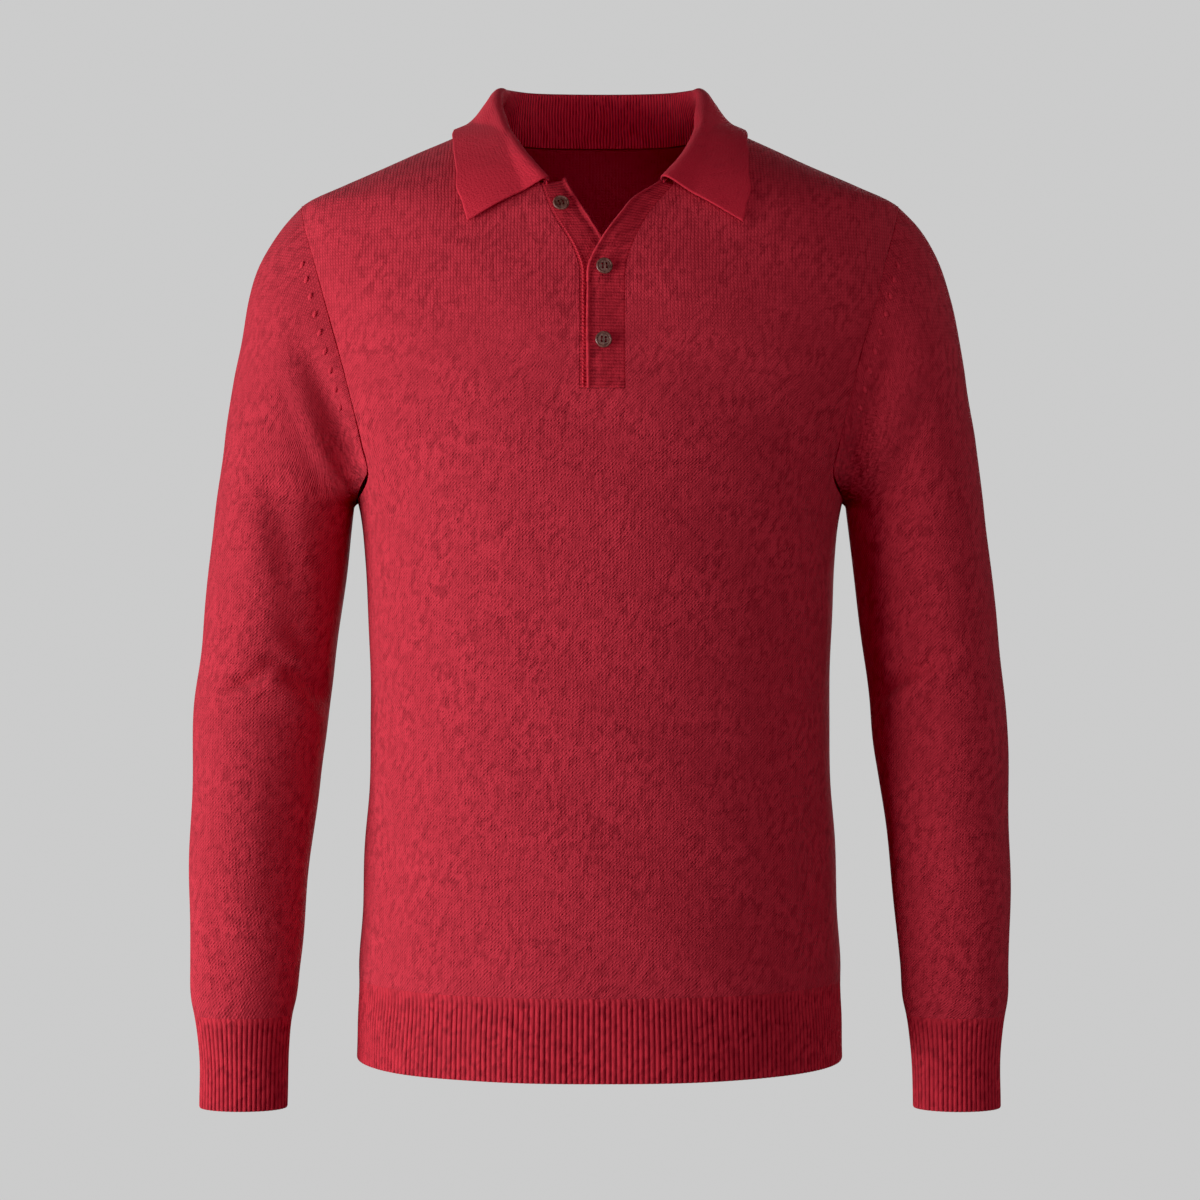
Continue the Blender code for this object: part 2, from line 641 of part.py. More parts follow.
def button(name, strip_name, x, height, coat):
    """A turned four-hole button on its strip's face."""
    turned = bmesh.new()
    section = [turned.verts.new((radius, 0, rise)) for radius, rise in BUTTON_SECTION]
    edges = [turned.edges.new(pair) for pair in zip(section, section[1:])]
    profile = section + edges
    bmesh.ops.spin(turned, geom=profile, axis=(0, 0, 1), angle=2 * math.pi, steps=24, use_merge=True)
    bmesh.ops.remove_doubles(turned, verts=turned.verts, dist=1e-6)
    bmesh.ops.recalc_face_normals(turned, faces=turned.faces)
    mesh = bpy.data.meshes.new(name)
    turned.to_mesh(mesh)
    turned.free()
    made = put_in_scene(name, mesh, coat)
    punches = bmesh.new()
    for corner in range(4):
        around = math.radians(45 + 90 * corner)
        offset = Vector((math.cos(around), math.sin(around), 0)) * BUTTON_HOLE_OUT
        bmesh.ops.create_cone(
            punches,
            cap_ends=True,
            segments=8,
            radius1=BUTTON_HOLE_RADIUS,
            radius2=BUTTON_HOLE_RADIUS,
            depth=4 * BUTTON_THICKNESS,
            matrix=Matrix.Translation(offset),
        )
    punch_mesh = bpy.data.meshes.new(name + "_holes")
    punches.to_mesh(punch_mesh)
    punches.free()
    punch = put_in_scene(name + "_holes", punch_mesh, coat)
    punch.hide_render = True
    punch.display_type = "WIRE"
    holes = made.modifiers.new("holes", "BOOLEAN")
    holes.operation = "DIFFERENCE"
    holes.object = punch
    seat, normal = strip_seat(strip_name, x, height)
    made.matrix_world = Matrix.Translation(seat) @ normal.to_track_quat("Z", "Y").to_matrix().to_4x4()
    punch.matrix_world = made.matrix_world
    return made


def strip_seat(strip_name, x, height):
    """Where a button's back lies over a strip's face at x and a height, and the normal there."""
    surface = placket_over if strip_name == "over" else placket_under
    points = surface(*np.meshgrid(np.linspace(0, 1, 101), np.linspace(0, 1, 301))).reshape(-1, 3)
    middle = points[np.argmin(np.hypot(points[:, 0] - x, points[:, 2] - height))]
    covered = points[np.linalg.norm(points - middle, axis=1) < BUTTON_RADIUS] - middle
    normal = np.linalg.svd(covered)[2][2]
    normal *= -np.sign(normal[1])
    rise = (covered @ normal).max() + BUTTON_SEAT
    return Vector(middle + normal * rise), Vector(normal)


def main():
    for leftover in list(bpy.data.objects):
        bpy.data.objects.remove(leftover, do_unlink=True)
    jersey = material("red_jersey", (0.42, 0.022, 0.045), 0.85)
    rib = material("red_rib", (0.40, 0.018, 0.040), 0.85)
    resin = material("brown_resin", (0.045, 0.028, 0.026), 0.35)

    panel_columns = 2 * FRONT_COLUMNS + 1

    def slot(u, v):
        return FRONT_COLUMNS < u * panel_columns < FRONT_COLUMNS + 1 and v > SLOT_START

    cloth("front", panel_columns, PANEL_ROWS, front, JERSEY, jersey, slot, panel_rim(-1))
    cloth("back", BACK_COLUMNS, PANEL_ROWS, back, JERSEY, jersey, rim=panel_rim(1))
    for side, half in (("front", -1), ("back", 1)):
        cloth("hem_rib_" + side, BACK_COLUMNS, RIB_ROWS, hem_rib(half), RIB, rib)
    for side, mirror in (("left", 1), ("right", -1)):
        face, rim = sleeve(mirror), sleeve_rim(mirror)
        cloth("sleeve_" + side, SLEEVE_COLUMNS, CAP_ROWS + TUBE_ROWS, face, JERSEY, jersey, rim=rim)
        cloth("cuff_" + side, SLEEVE_COLUMNS, RIB_ROWS, cuff(mirror), RIB, rib)
    strip_rows = ARMHOLE_ROWS - SLOT_ROW
    cloth("placket_over", STRIP_COLUMNS, strip_rows, placket_over, RIB, rib)
    cloth("placket_under", STRIP_COLUMNS, strip_rows, placket_under, RIB, rib)
    cloth("collar", 2 * FRONT_COLUMNS + BACK_COLUMNS, COLLAR_ROWS, collar, RIB, rib)
    for name, strip_name, x, height in BUTTONS:
        button(name, strip_name, x, height, resin)


main()
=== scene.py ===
import math

import bmesh
import bpy
import numpy as np
from mathutils import Matrix, Vector


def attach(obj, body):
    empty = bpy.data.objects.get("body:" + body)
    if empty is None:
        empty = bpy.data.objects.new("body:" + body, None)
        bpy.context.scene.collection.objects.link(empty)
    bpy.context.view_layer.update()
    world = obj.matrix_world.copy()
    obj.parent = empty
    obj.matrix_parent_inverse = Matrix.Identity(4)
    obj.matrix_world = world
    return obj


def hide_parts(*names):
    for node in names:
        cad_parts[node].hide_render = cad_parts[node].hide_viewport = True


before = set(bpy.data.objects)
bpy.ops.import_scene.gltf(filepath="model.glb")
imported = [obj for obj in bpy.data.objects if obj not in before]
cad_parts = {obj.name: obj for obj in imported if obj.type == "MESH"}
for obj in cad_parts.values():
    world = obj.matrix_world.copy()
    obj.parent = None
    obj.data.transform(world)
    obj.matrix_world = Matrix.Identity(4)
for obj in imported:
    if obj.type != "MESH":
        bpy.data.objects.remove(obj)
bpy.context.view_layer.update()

# The front panel. Fine single jersey in milled wool, knitted to shape, with a slot for the placket.
# Its armhole edges are linked to the sleeves, and its hem rib is knitted on below it.

HEM, RIB_TOP = -0.6605, -0.6020
ARMPIT, SHOULDER_TIP = -0.2577, -0.0420
NECK_POINT, BACK_NECK = 0.0205, 0.0115
JERSEY = 0.0018  # wall of the panels and sleeves
ARMHOLE_SEAM = 0.00015
UNDERARM_GAP = 0.0003
SIDE_GAP = 0.00015  # half the air between the front and the back
SQUARENESS = 0.91  # 1 makes the torso's sections ellipses, less makes them squarer
SIDE_ROWS, ARMHOLE_ROWS, SHOULDER_ROWS = 9, 10, 5
PANEL_ROWS = SIDE_ROWS + ARMHOLE_ROWS + SHOULDER_ROWS
FRONT_COLUMNS = 9
SLOT_START, SLOT_END = 13 / PANEL_ROWS, 19 / PANEL_ROWS


def table(columns, *rows):
    """A table with named columns. The first column is where each row lies."""
    return dict(zip(columns.split(), np.array(rows, float).T))


def read(rows, column, place):
    """A column's value at any place, on a smooth curve through the rows and straight past their ends."""
    places, values = next(iter(rows.values())), rows[column]
    place = np.asarray(place, float)
    slopes = np.gradient(values, places)
    i = np.clip(np.searchsorted(places, place) - 1, 0, len(places) - 2)
    span = places[i + 1] - places[i]
    t = (place - places[i]) / span
    s = np.clip(t, 0, 1)
    curve = (
        (2 * s**3 - 3 * s**2 + 1) * values[i]
        + (s**3 - 2 * s**2 + s) * span * slopes[i]
        + (3 * s**2 - 2 * s**3) * values[i + 1]
        + (s**3 - s**2) * span * slopes[i + 1]
    )
    past = np.clip(t, None, 0) * span * slopes[i] + np.clip(t - 1, 0, None) * span * slopes[i + 1]
    return curve + past


def mix(a, b, share):
    return a + (b - a) * share


def ease(share):
    """From 0 to 1 with no slope at either end."""
    share = np.clip(share, 0, 1)
    return share**2 * (3 - 2 * share)


def power(value, exponent):
    return np.sign(value) * np.abs(value) ** exponent


def unit(vectors):
    return vectors / np.maximum(np.linalg.norm(vectors, axis=-1, keepdims=True), 1e-12)


TORSO = table(
    "height half_width front back middle",
    (HEM, 0.1770, 0.131, 0.127, 0.000),
    (-0.6350, 0.1763, 0.130, 0.126, 0.000),
    (-0.6060, 0.1742, 0.130, 0.125, 0.000),
    (-0.5910, 0.1745, 0.130, 0.124, 0.000),
    (-0.5480, 0.1726, 0.128, 0.120, 0.001),
    (-0.5040, 0.1705, 0.126, 0.116, 0.002),
    (-0.4450, 0.1674, 0.124, 0.111, 0.004),
    (-0.3720, 0.1679, 0.124, 0.110, 0.005),
    (-0.3000, 0.1716, 0.128, 0.114, 0.004),
    (ARMPIT, 0.1762, 0.130, 0.118, 0.003),
    (-0.2350, 0.1830, 0.130, 0.120, 0.002),
    (-0.2000, 0.1970, 0.129, 0.121, 0.002),
    (-0.1662, 0.2120, 0.128, 0.122, 0.002),
    (-0.1350, 0.2225, 0.126, 0.121, 0.002),
    (-0.1000, 0.2290, 0.121, 0.118, 0.003),
    (-0.0700, 0.2270, 0.114, 0.113, 0.004),
    (-0.0540, 0.2235, 0.110, 0.109, 0.005),
    (SHOULDER_TIP, 0.2168, 0.105, 0.105, 0.006),
    (-0.0292, 0.1900, 0.098, 0.099, 0.006),
    (-0.0146, 0.1560, 0.088, 0.089, 0.007),
    (0.0000, 0.1256, 0.077, 0.077, 0.008),
    (0.0110, 0.1018, 0.067, 0.066, 0.009),
    (NECK_POINT, 0.0800, 0.058, 0.056, 0.010),
)
ARMHOLE = table(
    "height front back",
    (ARMPIT, 0.1762, 0.1762),
    (-0.2411, 0.1669, 0.1745),
    (-0.2194, 0.1697, 0.1805),
    (-0.1934, 0.1746, 0.1875),
    (-0.1662, 0.1811, 0.1945),
    (-0.1401, 0.1884, 0.2010),
    (-0.1139, 0.1957, 0.2065),
    (-0.0888, 0.2025, 0.2110),
    (-0.0665, 0.2098, 0.2140),
    (SHOULDER_TIP, 0.2168, 0.2168),
)
FRONT_NECKLINE = table(
    "angle height",
    (12, -0.037),
    (18.5, -0.022),
    (32, -0.002),
    (52, 0.0125),
    (90, NECK_POINT),
)
SLOT = table(
    "height right left",
    (-0.1840, -0.0143, 0.0174),
    (-0.1150, -0.0143, 0.0174),
    (-0.0970, -0.0148, 0.0180),
    (-0.0830, -0.0200, 0.0222),
    (-0.0610, -0.0330, 0.0330),
    (-0.0370, -0.0420, 0.0520),
)


def torso(angle, height, side):
    """Points of the body's outer face. The angle runs from the middle front (side -1) or back (side 1)."""
    across, deep = np.sin(angle), np.cos(angle)
    depth = read(TORSO, "front" if side < 0 else "back", height)
    x = read(TORSO, "half_width", height) * power(across, SQUARENESS)
    y = read(TORSO, "middle", height) + side * (depth * power(deep, SQUARENESS) + SIDE_GAP)
    return np.stack(np.broadcast_arrays(x, y, height), axis=-1)


def angle_of(x, height):
    share = np.clip(x / read(TORSO, "half_width", height), -1, 1)
    return np.arcsin(power(share, 1 / SQUARENESS))


def torso_normal(points, side):
    step = 1e-4
    height = points[..., 2]
    angle = angle_of(points[..., 0], height)
    around = torso(angle + step, height, side) - torso(angle - step, height, side)
    upward = torso(angle, height + step, side) - torso(angle, height - step, side)
    return unit(np.cross(around, upward) * -side)


def panel_row(v):
    """(height by the armhole, share of the way from shoulder tip to neck) of the panel's row at v."""
    row = np.asarray(v, float) * PANEL_ROWS
    side = mix(RIB_TOP, ARMPIT, row / SIDE_ROWS)
    turn = np.clip((row - SIDE_ROWS) / ARMHOLE_ROWS, 0, 1) * math.pi
    armhole = mix(ARMPIT, SHOULDER_TIP, (1 - np.cos(turn)) / 2)
    shoulder = (row - SIDE_ROWS - ARMHOLE_ROWS) / SHOULDER_ROWS
    return np.where(row < SIDE_ROWS, side, armhole), np.where(shoulder > 0, shoulder, 0)


def armhole_angle(height, column):
    inside = (height > ARMPIT) & (height < SHOULDER_TIP)
    reach = angle_of(read(ARMHOLE, column, height), height)
    return np.where(inside, reach, math.pi / 2)


def on_panel(angle, v, neckline):
    level, shoulder = panel_row(v)
    first = next(iter(neckline.values()))[0]
    top = read(neckline, "height", np.clip(np.degrees(np.abs(angle)), first, 90))
    return mix(level, top, shoulder)


def slot_angle(v, edge):
    level, shoulder = panel_row(v)
    height = mix(level, FRONT_NECKLINE["height"][0], shoulder)
    return angle_of(read(SLOT, edge, height), height)


def front(u, v):
    column = u * (2 * FRONT_COLUMNS + 1)
    edge = armhole_angle(panel_row(v)[0], "front")
    right, left = slot_angle(v, "right"), slot_angle(v, "left")
    outer_right = mix(-edge, right, column / FRONT_COLUMNS)
    outer_left = mix(left, edge, (column - FRONT_COLUMNS - 1) / FRONT_COLUMNS)
    between = mix(right, left, column - FRONT_COLUMNS)
    angle = np.where(column < FRONT_COLUMNS, outer_right, between)
    angle = np.where(column > FRONT_COLUMNS + 1, outer_left, angle)
    return torso(angle, on_panel(angle, v, FRONT_NECKLINE), -1)


def spaced(length, step, rolls="both"):
    """Shares of a length, one step apart and much closer by an edge that rolls or is linked."""
    close = np.array((0, 0.00025, 0.0006, 0.0011, 0.0018, 0.0028))
    first = close if rolls in ("both", "start") else np.array((0.0,))
    last = length - close[::-1] if rolls in ("both", "end") else np.array((length,))
    inner = np.linspace(first[-1], last[0], max(2, round((last[0] - first[-1]) / step)) + 1)
    return np.concatenate((first, inner[1:-1], last)) / length


# The folds, as soft troughs seen from the front (side -1) or the back (side 1), each on a curve through
# three points. A lip is the cloth that the trough pushes up on the right of its way.
FOLDS = table(
    "side x z x_mid z_mid x_end z_end half_width depth lip",
    # the wearer's right sleeve, from the armpit and across the elbow
    (-1, -0.2120, -0.1460, -0.1890, -0.2010, -0.1640, -0.2760, 0.0100, 0.0068, 0.30),
    (-1, -0.2330, -0.1600, -0.2140, -0.2060, -0.1960, -0.2560, 0.0080, 0.0020, 0.25),
    (-1, -0.2380, -0.2350, -0.2260, -0.2850, -0.2180, -0.3450, 0.0125, 0.0036, 0.25),
    (-1, -0.2690, -0.3910, -0.2530, -0.3862, -0.2350, -0.3790, 0.0044, 0.0080, 0.25),
    (-1, -0.2450, -0.3740, -0.2200, -0.3790, -0.1930, -0.4060, 0.0070, 0.0060, 0.50),
    (-1, -0.2250, -0.3450, -0.2130, -0.3600, -0.2010, -0.3800, 0.0090, 0.0026, 0.00),
    (-1, -0.2760, -0.4180, -0.2540, -0.4080, -0.2290, -0.4120, 0.0080, 0.0016, 0.20),
    (-1, -0.2300, -0.4550, -0.2260, -0.5000, -0.2290, -0.5450, 0.0120, 0.0014, 0.00),
    (-1, -0.2740, -0.5300, -0.2700, -0.5700, -0.2640, -0.6050, 0.0090, 0.0012, 0.20),
    # the wearer's left sleeve
    (-1, 0.2100, -0.1480, 0.1900, -0.2000, 0.1690, -0.2560, 0.0090, 0.0048, -0.25),
    (-1, 0.2330, -0.1800, 0.2160, -0.2260, 0.1980, -0.2700, 0.0090, 0.0016, 0.00),
    (-1, 0.2000, -0.4010, 0.2160, -0.3850, 0.2480, -0.3680, 0.0056, 0.0058, 0.40),
    (-1, 0.2260, -0.4080, 0.2460, -0.4000, 0.2680, -0.4050, 0.0080, 0.0016, -0.20),
    (-1, 0.2620, -0.3470, 0.2740, -0.3430, 0.2840, -0.3490, 0.0060, 0.0016, 0.00),
    (-1, 0.1960, -0.3460, 0.2100, -0.3520, 0.2280, -0.3480, 0.0060, 0.0012, 0.00),
    (-1, 0.2340, -0.4700, 0.2300, -0.5150, 0.2330, -0.5600, 0.0120, 0.0013, 0.00),
    # the body, drawn from the armpits and resting over the hem
    (-1, -0.1640, -0.2900, -0.1400, -0.2560, -0.1240, -0.2180, 0.0120, 0.0022, 0.15),
    (-1, 0.1640, -0.2800, 0.1420, -0.2480, 0.1290, -0.2120, 0.0120, 0.0020, -0.15),
    (-1, 0.1600, -0.4620, 0.1500, -0.5100, 0.1470, -0.5780, 0.0100, 0.0022, 0.20),
    (-1, -0.1610, -0.4700, -0.1500, -0.5200, -0.1500, -0.5820, 0.0110, 0.0014, 0.00),
    (-1, -0.1200, -0.5300, -0.0600, -0.5560, 0.0100, -0.5620, 0.0170, 0.0012, 0.10),
    (-1, 0.0400, -0.5400, 0.0800, -0.5660, 0.1260, -0.5560, 0.0150, 0.0010, 0.10),
    # the back of the elbows
    (1, -0.2230, -0.3290, -0.2080, -0.3520, -0.2010, -0.3740, 0.0075, 0.0034, 0.30),
    (1, -0.2700, -0.3980, -0.2440, -0.3860, -0.2080, -0.3990, 0.0070, 0.0022, 0.20),
    (1, 0.2290, -0.3430, 0.2140, -0.3600, 0.2030, -0.3810, 0.0075, 0.0034, -0.30),
    (1, 0.2720, -0.4100, 0.2460, -0.3980, 0.2120, -0.4080, 0.0070, 0.0020, -0.20),
    (1, -0.2160, -0.1700, -0.2020, -0.2130, -0.1880, -0.2580, 0.0085, 0.0030, 0.20),
    (1, 0.2180, -0.1640, 0.2040, -0.2090, 0.1890, -0.2570, 0.0085, 0.0028, -0.20),
    # the back, from the armpits inwards, and the small of it
    (1, -0.1560, -0.2560, -0.1260, -0.2900, -0.0820, -0.3120, 0.0130, 0.0032, 0.25),
    (1, 0.1550, -0.2500, 0.1220, -0.2870, 0.0780, -0.3160, 0.0130, 0.0032, -0.25),
    (1, -0.1180, -0.4060, -0.0400, -0.4240, 0.0420, -0.4180, 0.0140, 0.0020, 0.20),
    (1, -0.0500, -0.4560, 0.0300, -0.4700, 0.1120, -0.4580, 0.0150, 0.0018, 0.20),
    (1, -0.1500, -0.5500, -0.0900, -0.5700, -0.0300, -0.5650, 0.0150, 0.0012, 0.10),
    (1, 0.0500, -0.5650, 0.0950, -0.5760, 0.1500, -0.5560, 0.0150, 0.0012, 0.10),
)


def folds_at(points, outward):
    """How far in the cloth is pressed along the troughs, with a little slack all over."""
    x, y, z = np.moveaxis(points, -1, 0)
    slack = np.sin(47 * x + 21 * z + 0.6) * np.sin(33 * z - 12 * x + 40 * y + 1.1)
    pressed = 0.0005 * slack + 0.0004 * np.sin(71 * z + 55 * x - 30 * y)
    seen = points[..., ::2]
    for side, *line, half_width, depth, lip in zip(*FOLDS.values()):
        ends = np.array(line).reshape(3, 2)
        low, high = ends.min(0) - 4 * half_width, ends.max(0) + 4 * half_width
        near = np.all((seen > low) & (seen < high), axis=-1) & (side * outward[..., 1] > 0)
        if not near.any():
            continue
        t = np.linspace(0, 1, 33)[:, None]
        middle = 2 * ends[1] - (ends[0] + ends[2]) / 2
        curve = (1 - t) ** 2 * ends[0] + 2 * t * (1 - t) * middle + t**2 * ends[2]
        way = unit(np.gradient(curve, axis=0))
        gap = seen[near][:, None] - curve
        nearest = np.argmin((gap**2).sum(-1), axis=1)
        gap = gap[np.arange(len(gap)), nearest]
        way = way[nearest]
        past = np.abs((gap * way).sum(-1))
        apart = gap[:, 0] * way[:, 1] - gap[:, 1] * way[:, 0]
        place = nearest / 32
        taper = np.sin(math.pi * np.clip(mix(0.06, 0.94, place), 0, 1)) ** 0.7
        fade = np.where((nearest == 0) | (nearest == 32), np.exp(-((past / half_width) ** 2)), 1)
        trough = np.exp(-((apart / half_width) ** 2))
        ridge = np.exp(-(((apart - np.sign(lip) * 2.0 * half_width) / (1.3 * half_width)) ** 2))
        facing = np.clip(side * outward[..., 1][near] * 1.6, 0, 1)
        pressed[near] += depth * taper * fade * facing * (trough - abs(lip) * ridge)
    return pressed


def mesh_of(name, shape):
    """A mesh made from a bmesh, which is used up."""
    mesh = bpy.data.meshes.new(name)
    shape.to_mesh(mesh)
    shape.free()
    return mesh


def put_in_scene(name, mesh, coat):
    mesh.materials.append(coat)
    made = bpy.data.objects.new(name, mesh)
    bpy.context.scene.collection.objects.link(made)
    return made


def cloth(
    name,
    us,
    vs,
    surface,
    wall,
    coat,
    relief=None,
    cut=None,
    closed=False,
    rolled="",
    rim=None,
    laid_out=None,
    round_by=1.0,
):
    """A wall of cloth: a grid laid on surface(u, v), and its twin one wall behind it. Its UV map is in
    metres of knitting, across from the middle column and up from the first row, or laid out."""
    u, v = np.meshgrid(us, vs)
    step = 1e-4
    points = surface(u, v)
    upward = surface(u, v + step) - surface(u, v - step)
    outward = unit(np.cross(surface(u + step, v) - surface(u - step, v), upward))
    across = np.pad(np.linalg.norm(np.diff(points, axis=1), axis=-1), ((0, 0), (1, 0))).cumsum(1)
    along = np.pad(np.linalg.norm(np.diff(points, axis=0), axis=-1), ((1, 0), (0, 0))).cumsum(0)
    edges = {"left": across, "right": across[:, -1:] - across, "bottom": along, "top": along[-1:] - along}
    across = across - across[:, across.shape[1] // 2][:, None]
    if laid_out:
        across, along = laid_out(points, across)
    pressed = folds_at(points, outward)
    lift, hollow, shade = relief(u, v, across, along, edges) if relief else (0, 0, 0)
    lift, hollow, shade = lift + 0 * u, hollow + 0 * u, shade + 0 * u
    way_in = -outward
    if rim:
        way_in = rim(u, v, edges, way_in)
    roll = 0 * u
    for edge in rolled.split():
        short = np.clip(1 - edges[edge] / (0.55 * round_by * wall), 0, 1)
        roll = np.maximum(roll, 0.46 * round_by * wall * (1 - np.sqrt(1 - short**2)))
    face = points + outward * (lift - pressed)[..., None] + way_in * roll[..., None]
    behind = points - outward * pressed[..., None] + way_in * (wall - roll - hollow)[..., None]
    sheet = bmesh.new()
    knit = sheet.loops.layers.uv.new("knit")
    rows, columns = len(vs) - 1, len(us) - 1
    bmesh.ops.create_grid(sheet, x_segments=columns, y_segments=rows, size=0.5, calc_uvs=True)
    if cut:
        inside = [part for part in sheet.faces if cut(*place_of(part.calc_center_median(), us, vs))]
        bmesh.ops.delete(sheet, geom=inside, context="FACES")
    place = sheet.verts.layers.float_vector.new("place")
    first, last = {}, {}
    for vertex in sheet.verts:
        column, row = round((vertex.co.x + 0.5) * columns), round((vertex.co.y + 0.5) * rows)
        vertex[place] = (column, row, 0)
        if closed and column in (0, columns):
            (first if column == 0 else last)[row] = vertex
    if closed:
        bmesh.ops.weld_verts(sheet, targetmap={last[row]: first[row] for row in last})
    twin = bmesh.ops.extrude_face_region(sheet, geom=sheet.faces[:], use_keep_orig=True)["geom"]
    for vertex in twin:
        if isinstance(vertex, bmesh.types.BMVert):
            vertex[place].z = 1
    at = np.array([vertex[place] for vertex in sheet.verts]).round().astype(int)
    laid = np.where(at[:, 2:] > 0, behind[at[:, 1], at[:, 0]], face[at[:, 1], at[:, 0]])
    for vertex, point in zip(sheet.verts, laid):
        vertex.co = point
    bmesh.ops.recalc_face_normals(sheet, faces=sheet.faces)
    mesh = mesh_of(name, sheet)
    corners = np.empty(2 * len(mesh.loops), np.float32)
    mesh.uv_layers["knit"].data.foreach_get("uv", corners)
    corners = corners.reshape(-1, 2)
    column = np.clip((corners[:, 0] * columns).round().astype(int), 0, columns)
    row = np.clip((corners[:, 1] * rows).round().astype(int), 0, rows)
    corners = np.stack((across[row, column], along[row, column]), axis=-1)
    mesh.uv_layers["knit"].data.foreach_set("uv", corners.ravel().astype(np.float32))
    # Painted shade from the relief goes into a mesh attribute that the wool reads.
    painted_shade = mesh.attributes.new("painted_shade", "FLOAT", "POINT")
    painted_shade.data.foreach_set("value", shade[at[:, 1], at[:, 0]].astype(np.float32))
    # The inner faces are marked, and the wool paints light on them.
    behind_face = mesh.attributes.new("inside", "FLOAT", "POINT")
    behind_face.data.foreach_set("value", at[:, 2].astype(np.float32))
    mesh.attributes.remove(mesh.attributes["place"])
    mesh.shade_smooth()
    mesh.set_sharp_from_angle(angle=math.radians(75))
    return put_in_scene(name, mesh, coat)


def place_of(middle, us, vs):
    """The (u, v) of a face's middle in the even grid."""
    column, row = (middle.x + 0.5) * (len(us) - 1), (middle.y + 0.5) * (len(vs) - 1)
    return np.interp(column, np.arange(len(us)), us), np.interp(row, np.arange(len(vs)), vs)


def armhole(turn):
    """The armhole seam, where turn 0 is the shoulder tip and a quarter turn is the front."""
    height = mix(ARMPIT, SHOULDER_TIP, (1 + np.cos(turn)) / 2)
    inside = np.clip(height, ARMPIT + 1e-7, SHOULDER_TIP - 1e-7)
    ahead = torso(armhole_angle(inside, "front"), inside, -1)
    behind = torso(armhole_angle(inside, "back"), inside, 1)
    return np.where((np.sin(turn) > 0)[..., None], ahead, behind)


# The cap is rings that turn about a pivot in the armpit, from level to upright beside the armhole.
PIVOT_X, PIVOT_Z, PIVOT_INNER = 0.1764, -0.2620, 0.0030
CAP = table(
    "turn reach half_depth middle",
    (-10.0, 0.1073, 0.0499, -0.0023),
    (0.0, 0.1033, 0.0500, -0.003),
    (27.4, 0.1088, 0.0525, -0.004),
    (46.5, 0.1297, 0.0550, -0.005),
    (55.6, 0.1491, 0.0570, -0.006),
    (62.8, 0.1715, 0.0590, -0.006),
    (69.4, 0.1945, 0.0610, -0.007),
    (74.8, 0.2114, 0.0630, -0.007),
    (79.6, 0.2237, 0.0645, -0.007),
)
CAP_TURN = CAP["turn"][-1]
CAP_FULLNESS = 0.8
TURNED_EDGE = 0.004  # how wide an edge is that turns to meet the piece it is linked to


def cap_ring(turn, lift):
    """A ring of the sleeve's cap, from a lift of 0 at the armpit's level to 1 beside the armhole."""
    bend = lift * CAP_TURN
    reach, half_depth = read(CAP, "reach", bend), read(CAP, "half_depth", bend)
    along = (reach + PIVOT_INNER) / 2 + (reach - PIVOT_INNER) / 2 * np.cos(turn)
    x = PIVOT_X + along * np.cos(np.radians(bend))
    y = read(CAP, "middle", bend) - half_depth * power(np.sin(turn), mix(1, CAP_FULLNESS, lift))
    z = PIVOT_Z + along * np.sin(np.radians(bend))
    return np.stack(np.broadcast_arrays(x, y, z), axis=-1)


def cap(turn, lift, seam_gap=0):
    """Points round the sleeve's cap, whose top ring is drawn on to the armhole seam."""
    drawn = armhole(turn) + seam_gap - cap_ring(turn, np.ones_like(turn))
    return cap_ring(turn, lift) + drawn * (lift**3)[..., None]


def armhole_frame(turn):
    """Along the armhole seam: the panel's normal, the sleeve's, how far they agree, and their gap."""
    step = 1e-3
    seam = armhole(turn)
    side = np.where(np.sin(turn) > 0, -1, 1)
    panel = np.where((side < 0)[..., None], torso_normal(seam, -1), torso_normal(seam, 1))
    tangent = unit(armhole(turn + step) - armhole(turn - step))
    outward = cap(turn, 1 - step + 0 * turn) - cap(turn, 1 + 0 * turn)
    own = unit(np.cross(tangent, outward))
    agree = np.clip((np.sum(panel * own, axis=-1, keepdims=True) - 0.2) / 0.4, 0, 1)
    across = unit(np.cross(panel + own, tangent))
    gap = mix(np.array((UNDERARM_GAP, 0, 0)), across * ARMHOLE_SEAM, agree)
    return panel, own, agree, gap


def panel_rim(side):
    """The way in near a panel's armhole edges, turned to the seam's own."""

    def way(u, v, edges, way_in):
        row = v * PANEL_ROWS - SIDE_ROWS
        turn = -side * (math.pi - np.clip(row / ARMHOLE_ROWS, 0, 1) * math.pi)
        panel, own, agree, _ = armhole_frame(turn)
        shared = -unit(mix(panel, unit(panel + own), agree))
        shared[..., 0] *= np.where((u > 0.5) == (side < 0), 1, -1)
        near = ease(1 - np.minimum(edges["left"], edges["right"]) / TURNED_EDGE)
        near = near * ((row > 0) & (row < ARMHOLE_ROWS))
        return unit(mix(way_in, shared, near[..., None]))

    return way


def panel_relief(u, v, across, along, edges):
    """A rib of linked loops stands up just inside the armhole seam, and painted shade darkens the seam
    itself.
    """
    row = v * PANEL_ROWS - SIDE_ROWS
    by_armhole = ease(row / 0.8) * ease((ARMHOLE_ROWS - row) / 0.3)
    seam = np.minimum(edges["left"], edges["right"])
    raised = 0.0006 * np.exp(-(((seam - 0.0021) / 0.0011) ** 2)) * by_armhole
    # Painted shade along the seam, where the panel meets the sleeve.
    dark = 0.15 * np.exp(-((seam / 0.0008) ** 2)) * by_armhole
    return raised, 0, dark


def node(tree, kind, inputs=None, **settings):
    """A node with its settings, its inputs set or linked."""
    made = tree.nodes.new(kind)
    for key, value in settings.items():
        setattr(made, key, value)
    for key, value in (inputs or {}).items():
        socket = made.inputs[key]
        if isinstance(value, bpy.types.NodeSocket):
            tree.links.new(value, socket)
        else:
            socket.default_value = value
    return made


